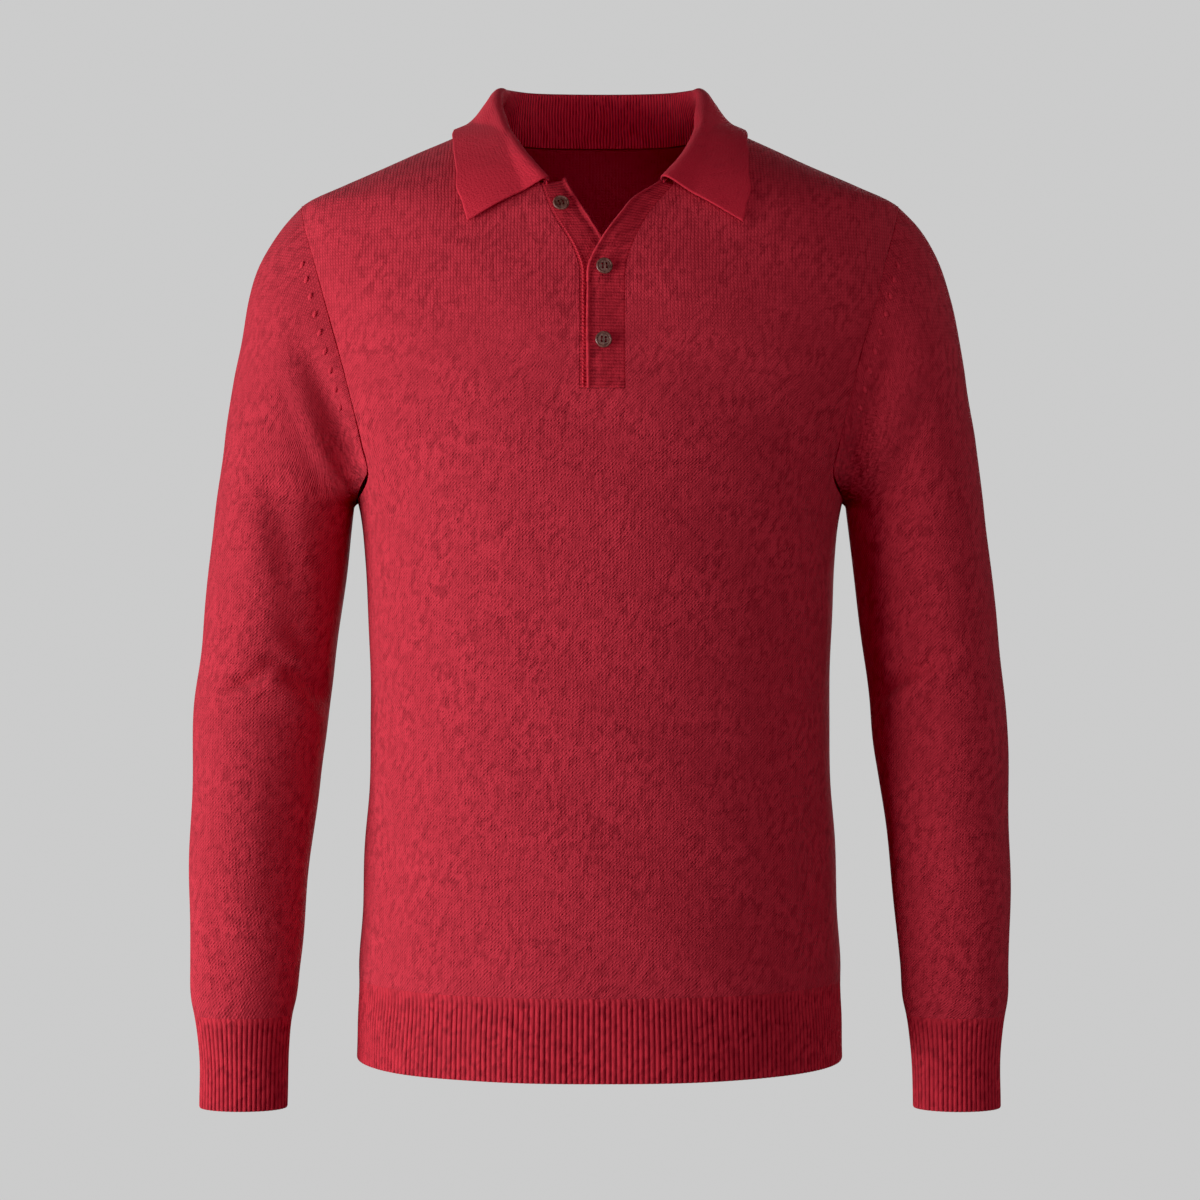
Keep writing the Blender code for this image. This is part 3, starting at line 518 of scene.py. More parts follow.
def linear(hexed):
    """An sRGB hex colour as linear RGBA."""
    parts = [int(hexed[i : i + 2], 16) / 255 for i in (0, 2, 4)]
    return *(c / 12.92 if c <= 0.04045 else ((c + 0.055) / 1.055) ** 2.4 for c in parts), 1.0


STAND_RIB_PITCH = 0.0023


def material(name):
    """A new material, its node tree and its shader."""
    made = bpy.data.materials.new(name)
    made.use_nodes = True
    return made, made.node_tree, made.node_tree.nodes["Principled BSDF"]


def knitted(name, light, deep, wale, course, plain, drawn=1.0, stand=0.0):
    """Milled wool, dyed in the fleece: a matt felted face with a pale nap at grazing angles. Stitches are
    drawn from the UV map in metres. plain is how clearly the wales show below the chest, drawn how
    strongly all stitches do, and stand how far up the knitting wide ribs go."""
    made, tree, shader = material(name)
    shader.inputs["Roughness"].default_value = 0.9
    shader.inputs["IOR"].default_value = 1.45
    shader.inputs["Specular IOR Level"].default_value = 0.25
    shader.inputs["Sheen Weight"].default_value = 0.16
    shader.inputs["Sheen Roughness"].default_value = 0.4
    shader.inputs["Sheen Tint"].default_value = linear("FFA0A8")
    knit = node(tree, "ShaderNodeUVMap", uv_map="knit").outputs[0]
    place = node(tree, "ShaderNodeTexCoord").outputs["Object"]
    # The wales wander by about half a stitch over a few centimetres.
    wander = node(tree, "ShaderNodeTexNoise", {"Vector": place, "Scale": 45.0, "Detail": 1.5})
    moved = node(
        tree,
        "ShaderNodeVectorMath",
        {0: wander.outputs["Color"], 1: (0.0030, 0.0030, 0), 2: knit},
        operation="MULTIPLY_ADD",
    )
    apart = node(tree, "ShaderNodeSeparateXYZ", {0: moved.outputs[0]})
    across, up = apart.outputs[0], apart.outputs[1]
    # Each stitch is a V: its two legs rise outwards from the wale's middle line.
    wales = node(tree, "ShaderNodeMath", {0: across, 1: 1 / wale}, operation="MULTIPLY").outputs[0]
    leg = node(tree, "ShaderNodeMath", {0: wales, 1: 0.5}, operation="PINGPONG").outputs[0]
    rows = node(tree, "ShaderNodeMath", {0: up, 1: 1 / course}, operation="MULTIPLY").outputs[0]
    lean = node(tree, "ShaderNodeMath", {0: leg, 1: 1.1, 2: rows}, operation="MULTIPLY_ADD").outputs[0]
    turned = node(tree, "ShaderNodeMath", {0: lean, 1: 2 * math.pi}, operation="MULTIPLY").outputs[0]
    loops = node(tree, "ShaderNodeMath", {0: turned}, operation="COSINE").outputs[0]
    between = node(
        tree,
        "ShaderNodeMapRange",
        {"Value": leg, "From Min": 0.0, "From Max": 0.30, "To Min": 0.34},
        interpolation_type="SMOOTHSTEP",
    ).outputs[0]
    # The milled face below the chest shows slanting strokes, one for a stitch.
    slant = node(tree, "ShaderNodeMath", {0: wales, 1: rows}, operation="SUBTRACT").outputs[0]
    slant = node(tree, "ShaderNodeMath", {0: slant, 1: 2 * math.pi}, operation="MULTIPLY").outputs[0]
    slant = node(tree, "ShaderNodeMath", {0: slant}, operation="COSINE").outputs[0]
    height = node(tree, "ShaderNodeSeparateXYZ", {0: place}).outputs[2]
    clear = node(
        tree,
        "ShaderNodeMapRange",
        {"Value": height, "From Min": -0.22, "From Max": -0.08, "To Min": plain, "To Max": 1.0},
        interpolation_type="SMOOTHSTEP",
    ).outputs[0]
    pair = node(tree, "ShaderNodeMath", {0: wales, 1: 2 * math.pi}, operation="MULTIPLY").outputs[0]
    pair = node(tree, "ShaderNodeMath", {0: pair}, operation="COSINE").outputs[0]
    slant = node(tree, "ShaderNodeMath", {0: pair, 1: 0.45, 2: slant}, operation="MULTIPLY_ADD").outputs[0]
    rubbed = node(tree, "ShaderNodeTexNoise", {"Vector": place, "Scale": 340.0, "Detail": 1.0}).outputs[0]
    rubbed = node(
        tree, "ShaderNodeMapRange", {"Value": rubbed, "From Min": 0.38, "From Max": 0.62, "To Min": 0.15}
    ).outputs[0]
    strokes = node(tree, "ShaderNodeMath", {0: slant, 1: rubbed}, operation="MULTIPLY").outputs[0]
    strokes = node(tree, "ShaderNodeMath", {0: strokes, 1: 0.50, 2: 0.5}, operation="MULTIPLY_ADD")
    stitch = node(tree, "ShaderNodeMath", {0: loops, 1: 0.26, 2: 0.74}, operation="MULTIPLY_ADD")
    stitch = node(tree, "ShaderNodeMath", {0: stitch.outputs[0], 1: between}, operation="MULTIPLY")
    pattern = node(
        tree,
        "ShaderNodeMix",
        {"Factor": clear, "A": strokes.outputs[0], "B": stitch.outputs[0]},
        data_type="FLOAT",
    ).outputs[0]
    # The collar's stand shows its ribs, which are pressed flat beyond the fold.
    if stand:
        ribs = node(
            tree, "ShaderNodeMath", {0: across, 1: 2 * math.pi / STAND_RIB_PITCH}, operation="MULTIPLY"
        ).outputs[0]
        ribs = node(tree, "ShaderNodeMath", {0: ribs}, operation="COSINE").outputs[0]
        ribs = node(tree, "ShaderNodeMath", {0: ribs, 1: 3.0, 2: 0.2}, operation="MULTIPLY_ADD")
        on_stand = node(
            tree,
            "ShaderNodeMapRange",
            {"Value": up, "From Min": stand, "From Max": stand + 0.005, "To Min": 1.0, "To Max": 0.0},
            interpolation_type="SMOOTHSTEP",
        ).outputs[0]
        pattern = node(
            tree,
            "ShaderNodeMix",
            {"Factor": on_stand, "A": pattern, "B": ribs.outputs[0]},
            data_type="FLOAT",
        ).outputs[0]
    # Milling leaves soft dark flecks, 3 to 7 mm long and slanting as the strokes do, in cloudy patches.
    slanted = node(
        tree,
        "ShaderNodeMapping",
        {"Vector": knit, "Rotation": (0, 0, math.radians(66)), "Scale": (1.7, 1.0, 1.0)},
        vector_type="TEXTURE",
    ).outputs[0]
    flecks = node(
        tree,
        "ShaderNodeTexNoise",
        {"Vector": slanted, "Scale": 205.0, "Detail": 2.0, "Roughness": 0.55, "Distortion": 0.5},
    ).outputs[0]
    flecks = node(
        tree,
        "ShaderNodeMapRange",
        {"Value": flecks, "From Min": 0.33, "From Max": 0.60},
        interpolation_type="SMOOTHSTEP",
    ).outputs[0]
    clouds = node(
        tree, "ShaderNodeTexNoise", {"Vector": place, "Scale": 38.0, "Detail": 3.0, "Roughness": 0.6}
    ).outputs[0]
    patches = node(
        tree,
        "ShaderNodeMapRange",
        {"Value": clouds, "From Min": 0.36, "From Max": 0.60, "To Min": 0.35, "To Max": 1.0},
        interpolation_type="SMOOTHSTEP",
    ).outputs[0]
    felted = node(
        tree, "ShaderNodeMix", {"Factor": patches, "A": 0.85, "B": flecks}, data_type="FLOAT"
    ).outputs[0]
    # Painted shade, read from a mesh attribute: it darkens the rib grooves, the seams, the hollows by the
    # placket's border and the collar's turned ends.
    painted_shade = node(tree, "ShaderNodeAttribute", attribute_name="painted_shade").outputs["Fac"]
    # Colour: the deep shade in flecks and clouds, and the light one on the loops.
    base = 0.50 * 0.55 * (1 - drawn)
    tone = node(tree, "ShaderNodeMath", {0: felted, 1: 0.36, 2: base}, operation="MULTIPLY_ADD")
    tone = node(
        tree, "ShaderNodeMath", {0: pattern, 1: 0.50 * drawn, 2: tone.outputs[0]}, operation="MULTIPLY_ADD"
    )
    tone = node(tree, "ShaderNodeMath", {0: clouds, 1: 0.36, 2: tone.outputs[0]}, operation="MULTIPLY_ADD")
    tone = node(tree, "ShaderNodeMath", {0: painted_shade, 1: -0.6, 2: tone.outputs[0]}, operation="MULTIPLY_ADD")
    # Painted light, read from a mesh attribute: the inner faces, in shade inside the body, are drawn
    # lighter. The raised loops carry a little under half of it and are lightened too.
    inside = node(tree, "ShaderNodeAttribute", attribute_name="inside").outputs["Fac"]
    tone = node(tree, "ShaderNodeMath", {0: inside, 1: 0.40, 2: tone.outputs[0]}, operation="MULTIPLY_ADD")
    tone.use_clamp = True
    colours = node(
        tree,
        "ShaderNodeMix",
        {"Factor": tone.outputs[0], "A": linear(deep), "B": linear(light)},
        data_type="RGBA",
    )
    colours = colours.outputs["Result"]
    if stand:
        # Painted light: the stand, in shade inside the neck, is drawn up to 1.75 times as light as the
        # leaves.
        stand_painted_light = node(tree, "ShaderNodeMath", {0: on_stand, 1: 0.75, 2: 1.0}, operation="MULTIPLY_ADD")
        colours = node(
            tree, "ShaderNodeVectorMath", {0: colours, "Scale": stand_painted_light.outputs[0]}, operation="SCALE"
        ).outputs[0]
    tree.links.new(colours, shader.inputs["Base Color"])
    nap = node(tree, "ShaderNodeTexNoise", {"Vector": place, "Scale": 900.0, "Detail": 1.0}).outputs[0]
    nap = node(tree, "ShaderNodeMath", {0: felted, 1: 0.45, 2: nap}, operation="MULTIPLY_ADD").outputs[0]
    relief = node(tree, "ShaderNodeMath", {0: pattern, 1: drawn, 2: nap}, operation="MULTIPLY_ADD")
    bump = node(
        tree, "ShaderNodeBump", {"Height": relief.outputs[0], "Strength": 1.0, "Distance": 0.00040}
    )
    tree.links.new(bump.outputs[0], shader.inputs["Normal"])
    return made


# Real wales are about 1.7 mm apart and courses 1.3 mm: both are drawn coarser, so that they show.
jersey = knitted("milled_wool_jersey", "C63242", "620A16", 0.0025, 0.0025, 0.0)


def straight_up(points, across):
    """Where a panel's points lie in its knitting: courses level round the body, and wales that lean in
    beside the armholes and stand upright at the shoulders."""
    heights = np.linspace(HEM, NECK_POINT + 0.01, 400)
    up = np.hypot(np.diff(heights), np.diff(read(TORSO, "front", heights))).cumsum()
    around = torso(np.linspace(0, math.pi / 2, 300), -0.10, -1)
    reach = np.linalg.norm(np.diff(around, axis=0), axis=-1).cumsum()
    x, height = points[..., 0], points[..., 2]
    upright = np.sign(x) * np.interp(np.abs(x), around[:, 0], np.append(0, reach))
    upright = np.where(np.sign(across[:, -1:]) == np.sign(x[:, -1:]), upright, -upright)
    across = mix(across, upright, ease((height + 0.25) / 0.17))
    return across, np.interp(height, heights, np.append(0, up))


def slot(u, v):
    column = u * (2 * FRONT_COLUMNS + 1)
    return FRONT_COLUMNS < column < FRONT_COLUMNS + 1 and v > SLOT_START


panel_heights = np.concatenate(
    (
        np.linspace(0, SIDE_ROWS / PANEL_ROWS, 97)[:-1],
        np.linspace(SIDE_ROWS / PANEL_ROWS, SLOT_START, 29)[:-1],
        np.linspace(SLOT_START, SLOT_END, 39)[:-1],
        SLOT_END + spaced(0.066, 0.0032, "end") * (1 - SLOT_END),
    )
)
half_columns = spaced(0.262, 0.0034)
front_columns = np.concatenate(
    (
        half_columns * FRONT_COLUMNS,
        FRONT_COLUMNS + np.linspace(0, 1, 11)[1:-1],
        FRONT_COLUMNS + 1 + half_columns * FRONT_COLUMNS,
    )
) / (2 * FRONT_COLUMNS + 1)
front_panel = cloth(
    "front_panel",
    front_columns,
    panel_heights,
    front,
    JERSEY,
    jersey,
    relief=panel_relief,
    cut=slot,
    rolled="left right",
    rim=panel_rim(-1),
    laid_out=straight_up,
    round_by=0.2,
)
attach(front_panel, "root")
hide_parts("front")


# The back panel. The same jersey, cut straight across the back of the neck, and seamed to the front
# at the sides and along the shoulders.

BACK_COLUMNS = 16
BACK_NECKLINE = table(
    "angle height",
    (0, BACK_NECK),
    (30, 0.0120),
    (60, 0.0150),
    (90, NECK_POINT),
)


def back(u, v):
    edge = armhole_angle(panel_row(v)[0], "back")
    angle = edge * (1 - 2 * u)
    return torso(angle, on_panel(angle, v, BACK_NECKLINE), 1)


back_panel = cloth(
    "back_panel",
    spaced(0.520, 0.0034),
    panel_heights,
    back,
    JERSEY,
    jersey,
    relief=panel_relief,
    rolled="left right",
    rim=panel_rim(1),
    laid_out=straight_up,
    round_by=0.2,
)
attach(back_panel, "root")
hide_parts("back")


# The hem ribs. A one-by-one rib in the same yarn, knitted on below each panel: broad rounded ridges
# with narrow grooves between, 3.8 mm from one to the next, under a soft rolled edge.

RIB = 0.0022  # wall of the hem ribs, the cuffs and the placket strips
HEM_RIB_PITCH = 0.0038
HEM_RIB_COLUMNS = 1016  # about eight columns of faces to a ridge
RIB_DEPTH = 0.0010
RIB_FADE = 0.0035  # over this length at its top a rib sinks into a smooth edge
RIB_GAP = 0.00008
RIB_ROW = 0.0055


def ribbed(pitch, depth, fade):
    """Ridges that run up the piece, which sink into a smooth edge over a length at the top, with painted
    shade in the grooves between them.
    """

    def relief(u, v, across, along, edges):
        middle = across[len(across) // 2]
        ribs = round((middle[-1] - middle[0]) / pitch)
        phase = (middle - middle[0]) / (middle[-1] - middle[0]) * ribs
        apart = np.abs(2 * (phase % 1) - 1)
        fading = ease(edges["top"] / fade)
        sunk = depth * apart**2.6 * fading
        # The third value is painted shade in the grooves, fading out with the ridges at the top.
        return -sunk, (depth - sunk) * 0.9, 0.8 * ease((apart - 0.5) / 0.5) * fading

    return relief


def even(surface, count):
    """Values of u that are even along the piece's middle row."""
    u = np.linspace(0, 1, 4001)
    run = np.linalg.norm(np.diff(surface(u, 0 * u + 0.5), axis=0), axis=-1).cumsum()
    return np.interp(np.linspace(0, run[-1], count + 1), np.append(0, run), u)


def hem_rib(side):
    def surface(u, v):
        points = torso(-side * mix(-math.pi / 2, math.pi / 2, u), mix(HEM, RIB_TOP - RIB_GAP, v), side)
        by_seam = ease((np.abs(2 * u - 1) - 0.98) / 0.02)
        return points - by_seam[..., None] * np.array((0, side * 0.00012, 0))

    return surface


rib_wool = knitted("milled_wool_rib", "CA2E3E", "5A0814", 0.0019, 0.0017, 0.6, drawn=0.35)
for name, half in (("hem_rib_front", -1), ("hem_rib_back", 1)):
    made = cloth(
        name + "_knit",
        even(hem_rib(half), HEM_RIB_COLUMNS),
        spaced(0.0585, RIB_ROW, "start"),
        hem_rib(half),
        RIB,
        rib_wool,
        relief=ribbed(HEM_RIB_PITCH, RIB_DEPTH, RIB_FADE),
        rolled="bottom",
    )
    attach(made, "root")
    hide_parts(name)


# The sleeves. Tubes of the same jersey, narrowed by fashioned stitches beside the armhole, which
# leave a row of small slanting marks. The knitting's own middle runs down the outside of the arm.

CUFF_END, CUFF_TOP = -0.6925, -0.6260
CAP_ROWS, TUBE_ROWS = 8, 14
SLEEVE = table(
    "height x y half_width half_depth",
    (CUFF_END, 0.2560, -0.034, 0.0316, 0.0225),
    (-0.6500, 0.2560, -0.033, 0.0323, 0.0230),
    (CUFF_TOP, 0.2557, -0.032, 0.0353, 0.0255),
    (-0.6165, 0.2555, -0.031, 0.0374, 0.0277),
    (-0.5900, 0.2551, -0.029, 0.0393, 0.0310),
    (-0.5454, 0.2538, -0.024, 0.0421, 0.0365),
    (-0.4880, 0.2515, -0.014, 0.0449, 0.0410),
    (-0.4590, 0.2497, -0.008, 0.0468, 0.0430),
    (-0.4300, 0.2478, -0.002, 0.0486, 0.0450),
    (-0.4015, 0.2464, 0.002, 0.0493, 0.0465),
    (-0.3577, 0.2410, 0.003, 0.0496, 0.0480),
    (-0.3285, 0.2374, 0.002, 0.0500, 0.0488),
    (-0.2993, 0.2340, 0.000, 0.0506, 0.0495),
    (PIVOT_Z, 0.22955, -0.003, 0.05015, 0.0500),
)


def tube(turn, height):
    """Points round the sleeve: turn 0 faces outwards, and a quarter turn faces the front."""
    x = read(SLEEVE, "x", height) + read(SLEEVE, "half_width", height) * np.cos(turn)
    y = read(SLEEVE, "y", height) - read(SLEEVE, "half_depth", height) * np.sin(turn)
    return np.stack(np.broadcast_arrays(x, y, height), axis=-1)


def sleeve(mirror):
    def surface(u, v):
        turn = -mirror * 2 * math.pi * (u - 0.5)
        row = v * (CAP_ROWS + TUBE_ROWS)
        height = mix(CUFF_TOP, PIVOT_Z, row / TUBE_ROWS)
        lift = (row - TUBE_ROWS) / CAP_ROWS
        gap = armhole_frame(turn)[3]
        in_cap = (lift > 0)[..., None]
        points = np.where(in_cap, cap(turn, np.maximum(lift, 0), gap), tube(turn, height))
        return points * (mirror, 1, 1)

    return surface


def sleeve_rim(mirror):
    def way(u, v, edges, way_in):
        panel, own, agree, _ = armhole_frame(-mirror * 2 * math.pi * (u - 0.5))
        shared = unit(mix(own, unit(panel + own), agree)) * (-mirror, -1, -1)
        near = ease(1 - edges["top"] / TURNED_EDGE)
        return unit(mix(way_in, shared, near[..., None]))

    return way


def loops_on(name, places, size, coat):
    """A row of raised loops, each a flattened drop at a place (point, way on, normal)."""
    loops = bmesh.new()
    for point, onward, normal in places:
        x_axis, z_axis = Vector(onward).normalized(), Vector(normal).normalized()
        y_axis = z_axis.cross(x_axis).normalized()
        turned = Matrix((x_axis, y_axis, x_axis.cross(y_axis))).transposed().to_4x4()
        at = Matrix.Translation(point) @ turned @ Matrix.Diagonal((*size, 1))
        drop = bmesh.ops.create_uvsphere(loops, u_segments=10, v_segments=8, radius=1)["verts"]
        for vertex in drop:
            vertex.co.yz *= 1 - 0.35 * vertex.co.x
        bmesh.ops.transform(loops, matrix=at, verts=drop)
    bmesh.ops.recalc_face_normals(loops, faces=loops.faces)
    mesh = mesh_of(name, loops)
    mesh.shade_smooth()
    raised = mesh.attributes.new("inside", "FLOAT", "POINT")
    raised.data.foreach_set("value", np.full(len(mesh.vertices), 0.45, np.float32))
    return put_in_scene(name, mesh, coat)


def fashioning(mirror):
    """The places of the marks, 10 mm from the armhole seam on the front and the back of a sleeve."""
    surface, step = sleeve(mirror), 1e-3
    places = []
    for half in (-1, 1):
        for turn in np.radians(np.linspace(52, 110, 9)):
            u = np.array((0.5 + half * turn / (2 * math.pi),))
            down = 1 - np.linspace(0, 0.2, 400)
            line = surface(u + 0 * down, down)
            run = np.append(0, np.linalg.norm(np.diff(line, axis=0), axis=-1).cumsum())
            v = np.interp(0.0100, run, down) + 0 * u
            point, beside, above = surface(u, v)[0], surface(u + step, v)[0], surface(u, v + step)[0]
            normal = np.cross(beside - point, above - point)
            normal *= np.sign(normal @ (point - (mirror * 0.19, 0, point[2])))
            pressed = folds_at(point[None], unit(normal)[None])[0]
            slanting = unit(above - point) + (0.5 * mirror, 0, 0)
            places.append((point + unit(normal) * (0.0004 - pressed), slanting, normal))
    return places


sleeve_rows = np.concatenate(
    (
        np.linspace(0, TUBE_ROWS / (CAP_ROWS + TUBE_ROWS), 116)[:-1],
        mix(TUBE_ROWS / (CAP_ROWS + TUBE_ROWS), 1, spaced(0.200, 0.0032, "end")),
    )
)
for name, mirror in (("sleeve_left", 1), ("sleeve_right", -1)):
    made = cloth(
        name + "_knit",
        np.linspace(0, 1, 113),
        sleeve_rows,
        sleeve(mirror),
        JERSEY,
        jersey,
        closed=True,
        rolled="top",
        rim=sleeve_rim(mirror),
        round_by=0.2,
    )
    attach(made, "root")
    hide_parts(name)
    marks = loops_on(name + "_fashioning_marks", fashioning(mirror), (0.0028, 0.0014, 0.0007), jersey)
    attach(marks, "root")


# The cuffs. The hem's rib again in the same yarn, a little finer, knitted on at the wrists. Each is a
# tube that closes in the sleeve's own seam, with a soft rolled edge.

CUFF_RIB_PITCH = 0.0034
CUFF_RIB_COLUMNS = 416


def cuff(mirror):
    def surface(u, v):
        points = tube(-mirror * 2 * math.pi * (u - 0.5), mix(CUFF_END, CUFF_TOP - RIB_GAP, v))
        return points * (mirror, 1, 1)

    return surface


for name, mirror in (("cuff_left", 1), ("cuff_right", -1)):
    made = cloth(
        name + "_knit",
        even(cuff(mirror), CUFF_RIB_COLUMNS),
        spaced(0.0665, RIB_ROW, "start"),
        cuff(mirror),
        RIB,
        rib_wool,
        relief=ribbed(CUFF_RIB_PITCH, RIB_DEPTH * 0.9, RIB_FADE),
        closed=True,
        rolled="bottom",
    )
    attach(made, "root")
    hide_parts(name)


# The placket. Two ribbed strips with their ribs running across, linked to the slot's edges: the over
# strip on the wearer's left, the under strip behind it, both folded open above the top closed button.

STRIPS = table(
    "height under_edge over_edge over_lift",
    (-0.1840, 0.0112, -0.0092, 0.0024),
    (-0.1150, 0.0112, -0.0092, 0.0024),
    (-0.0970, 0.0100, -0.0084, 0.0026),
    (-0.0830, 0.0050, -0.0014, 0.0040),
    (-0.0610, -0.0085, 0.0142, 0.0050),
    (-0.0500, -0.0160, 0.0236, 0.0045),
    (-0.0370, -0.0250, 0.0430, 0.0030),
)
UNDER_DROP = 0.0024
UNDER_CORNER, OVER_CORNER = 0.0065, 0.0010
SEAM = 0.0001
STRIP_RISE = 0.0035
STRIP_RIB_PITCH = 0.0024


def strip(v, share, seam, free_edge, corner):
    """Points on the front's face, from a strip's seam (share 0) to its free edge (share 1)."""
    top = np.clip(v, 0, None) ** 4
    level = panel_row(mix(SLOT_START, SLOT_END, v))[0] + SEAM * (1 - v) + STRIP_RISE * top
    x = mix(seam(level), read(STRIPS, free_edge, level), share)
    height = level + corner * share**2 * top
    return torso(angle_of(x, height), height, -1)


def placket_over(u, v):
    face = strip(v, 1 - u, lambda z: read(SLOT, "left", z) - SEAM, "over_edge", OVER_CORNER)
    stands_out = ease(1 - u) * read(STRIPS, "over_lift", face[..., 2])
    return face + torso_normal(face, -1) * stands_out[..., None]


def placket_under(u, v):
    face = strip(v, u, lambda z: read(SLOT, "right", z) + SEAM, "under_edge", UNDER_CORNER)
    return face - torso_normal(face, -1) * (ease(u) * UNDER_DROP)[..., None]


def strip_relief(free):
    """Ribs across the strip, and a rolled border by its free edge, with painted shade between the ribs, in
    the dip inside the border and along the seam.
    """

    def relief(u, v, across, along, edges):
        up = along.mean(axis=1, keepdims=True)
        ridge = 1 - np.abs(2 * ((up / STRIP_RIB_PITCH) % 1) - 1) ** 2
        border = np.exp(-(((edges[free] - 0.0013) / 0.0010) ** 2))
        dip = np.exp(-(((edges[free] - 0.0044) / 0.0018) ** 2))
        seam = np.exp(-((edges["left" if free == "right" else "right"] / 0.0007) ** 2))
        foot = np.exp(-(((edges["bottom"] - 0.0014) / 0.0009) ** 2))
        sunk = 0.00035 * (1 - ridge) * (1 - border)
        # Painted shade between the ribs, in the dip inside the border and along the seam.
        shade = 0.6 * ease((0.75 - ridge) / 0.75) * (1 - border) + 0.35 * dip + 0.2 * seam
        raised = 0.0005 * np.maximum(border, foot) - 0.0006 * dip - sunk - 0.0003 * seam
        return raised, 0.00035 * ridge, shade

    return relief


strip_rows = np.linspace(0, 1, 6 * 62 + 1)
for name, surface, free in (
    ("placket_over", placket_over, "left"),
    ("placket_under", placket_under, "right"),
):
    made = cloth(
        name + "_knit",
        spaced(0.026, 0.0022),
        strip_rows,
        surface,
        RIB,
        rib_wool,
        relief=strip_relief(free),
        rolled=free + " bottom",
    )
    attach(made, "root")
    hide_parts(name)


# The collar. One flat-knit strip in a very fine rib, linked to the neckline by its stand and folded
# over all round, so that its leaves lie open on the chest.

COLLAR = table(
    "along fold_x fold_y fold_z edge_angle edge_z hollow",
    (0.000, 0.0400, -0.0990, -0.0350, 22.7, -0.0662, 0.0000),
    (0.060, 0.0532, -0.0830, -0.0185, 24.6, -0.0495, 0.0000),
    (0.125, 0.0635, -0.0600, -0.0010, 28.2, -0.0345, 0.0006),
    (0.254, 0.0690, -0.0350, 0.0190, 42.0, -0.0115, 0.0022),
    (0.377, 0.0722, -0.0130, 0.0348, 55.5, 0.0004, 0.0027),
    (0.500, 0.0714, 0.0080, 0.0440, 76.0, 0.0084, 0.0020),
    (0.650, 0.0670, 0.0330, 0.0470, 120.0, 0.0076, 0.0031),
    (0.800, 0.0490, 0.0540, 0.0485, 146.0, -0.0030, 0.0024),
    (0.900, 0.0255, 0.0625, 0.0493, 163.0, -0.0050, 0.0020),
    (1.000, 0.0000, 0.0650, 0.0495, 180.0, -0.0060, 0.0020),
    (1.100, -0.0255, 0.0625, 0.0493, 197.0, -0.0050, 0.0020),
)
COLLAR_PROFILE = table(
    "across neck fold edge out up hollow",
    (0, 1.00, 0.00, 0.00, 0.0000, 0.0000, 0.0),
    (1, 0.50, 0.50, 0.00, -0.0022, 0.0000, 0.0),
    (2, 0.00, 1.00, 0.00, -0.0030, -0.0036, 0.0),
    (3, 0.00, 1.00, 0.00, 0.0000, 0.0000, 0.0),
    (4, 0.00, 1.00, 0.00, 0.0038, -0.0036, 0.0),
    (5, 0.00, 0.68, 0.32, 0.0009, 0.0000, 0.0),
    (6, 0.00, 0.34, 0.66, 0.0002, 0.0000, 1.0),
    (7, 0.00, 0.00, 1.00, 0.0000, 0.0000, 0.0),
)
COLLAR_OFFSET = 0.004
COLLAR_WALL = 0.0018
COLLAR_CLEARANCE = COLLAR_WALL + 0.0003
STAND_SEAT = (0.0020, 0.0004)


def clear_of_body(points, least):
    """Points pushed out where they would lie nearer to the torso than this."""

    def outside(at):
        height = at[..., 2]
        side = at[..., 1] - read(TORSO, "middle", height)
        depth = np.where(side < 0, read(TORSO, "front", height), read(TORSO, "back", height))
        width = np.maximum(read(TORSO, "half_width", height), 0.004)
        reach = np.abs(at[..., 0] / width) ** (2 / SQUARENESS) + np.abs(side / depth) ** (2 / SQUARENESS)
        return reach ** (SQUARENESS / 2) - 1

    step = 1e-5
    moves = np.eye(3) * step
    for _ in range(4):
        grow = np.stack([outside(points + move) - outside(points - move) for move in moves], axis=-1)
        grow /= 2 * step
        slope = np.linalg.norm(grow, axis=-1)
        short = np.maximum(least - outside(points) / slope, 0)
        points = points + grow / slope[..., None] * short[..., None]
    return points


def neckline(along, half):
    """The neckline on one half: the front panel's edge up to the shoulder seam, then the back panel's."""
    edge = np.degrees(np.abs(slot_angle(1.0, "left" if half > 0 else "right")))
    ahead = np.radians(mix(edge, 90, np.clip(along, None, 0.5) / 0.5))
    behind = np.radians(mix(90, 0, (np.clip(along, 0.5, None) - 0.5) / 0.5))
    front_half = torso(ahead, on_panel(ahead, 1.0, FRONT_NECKLINE), -1)
    back_half = torso(behind, on_panel(behind, 1.0, BACK_NECKLINE), 1)
    edge_points = np.where((along < 0.5)[..., None], front_half, back_half)
    inward = np.stack([-edge_points[..., 0], -edge_points[..., 1], 0 * along], axis=-1)
    return edge_points + unit(inward) * STAND_SEAT[0] + np.array((0, 0, STAND_SEAT[1]))


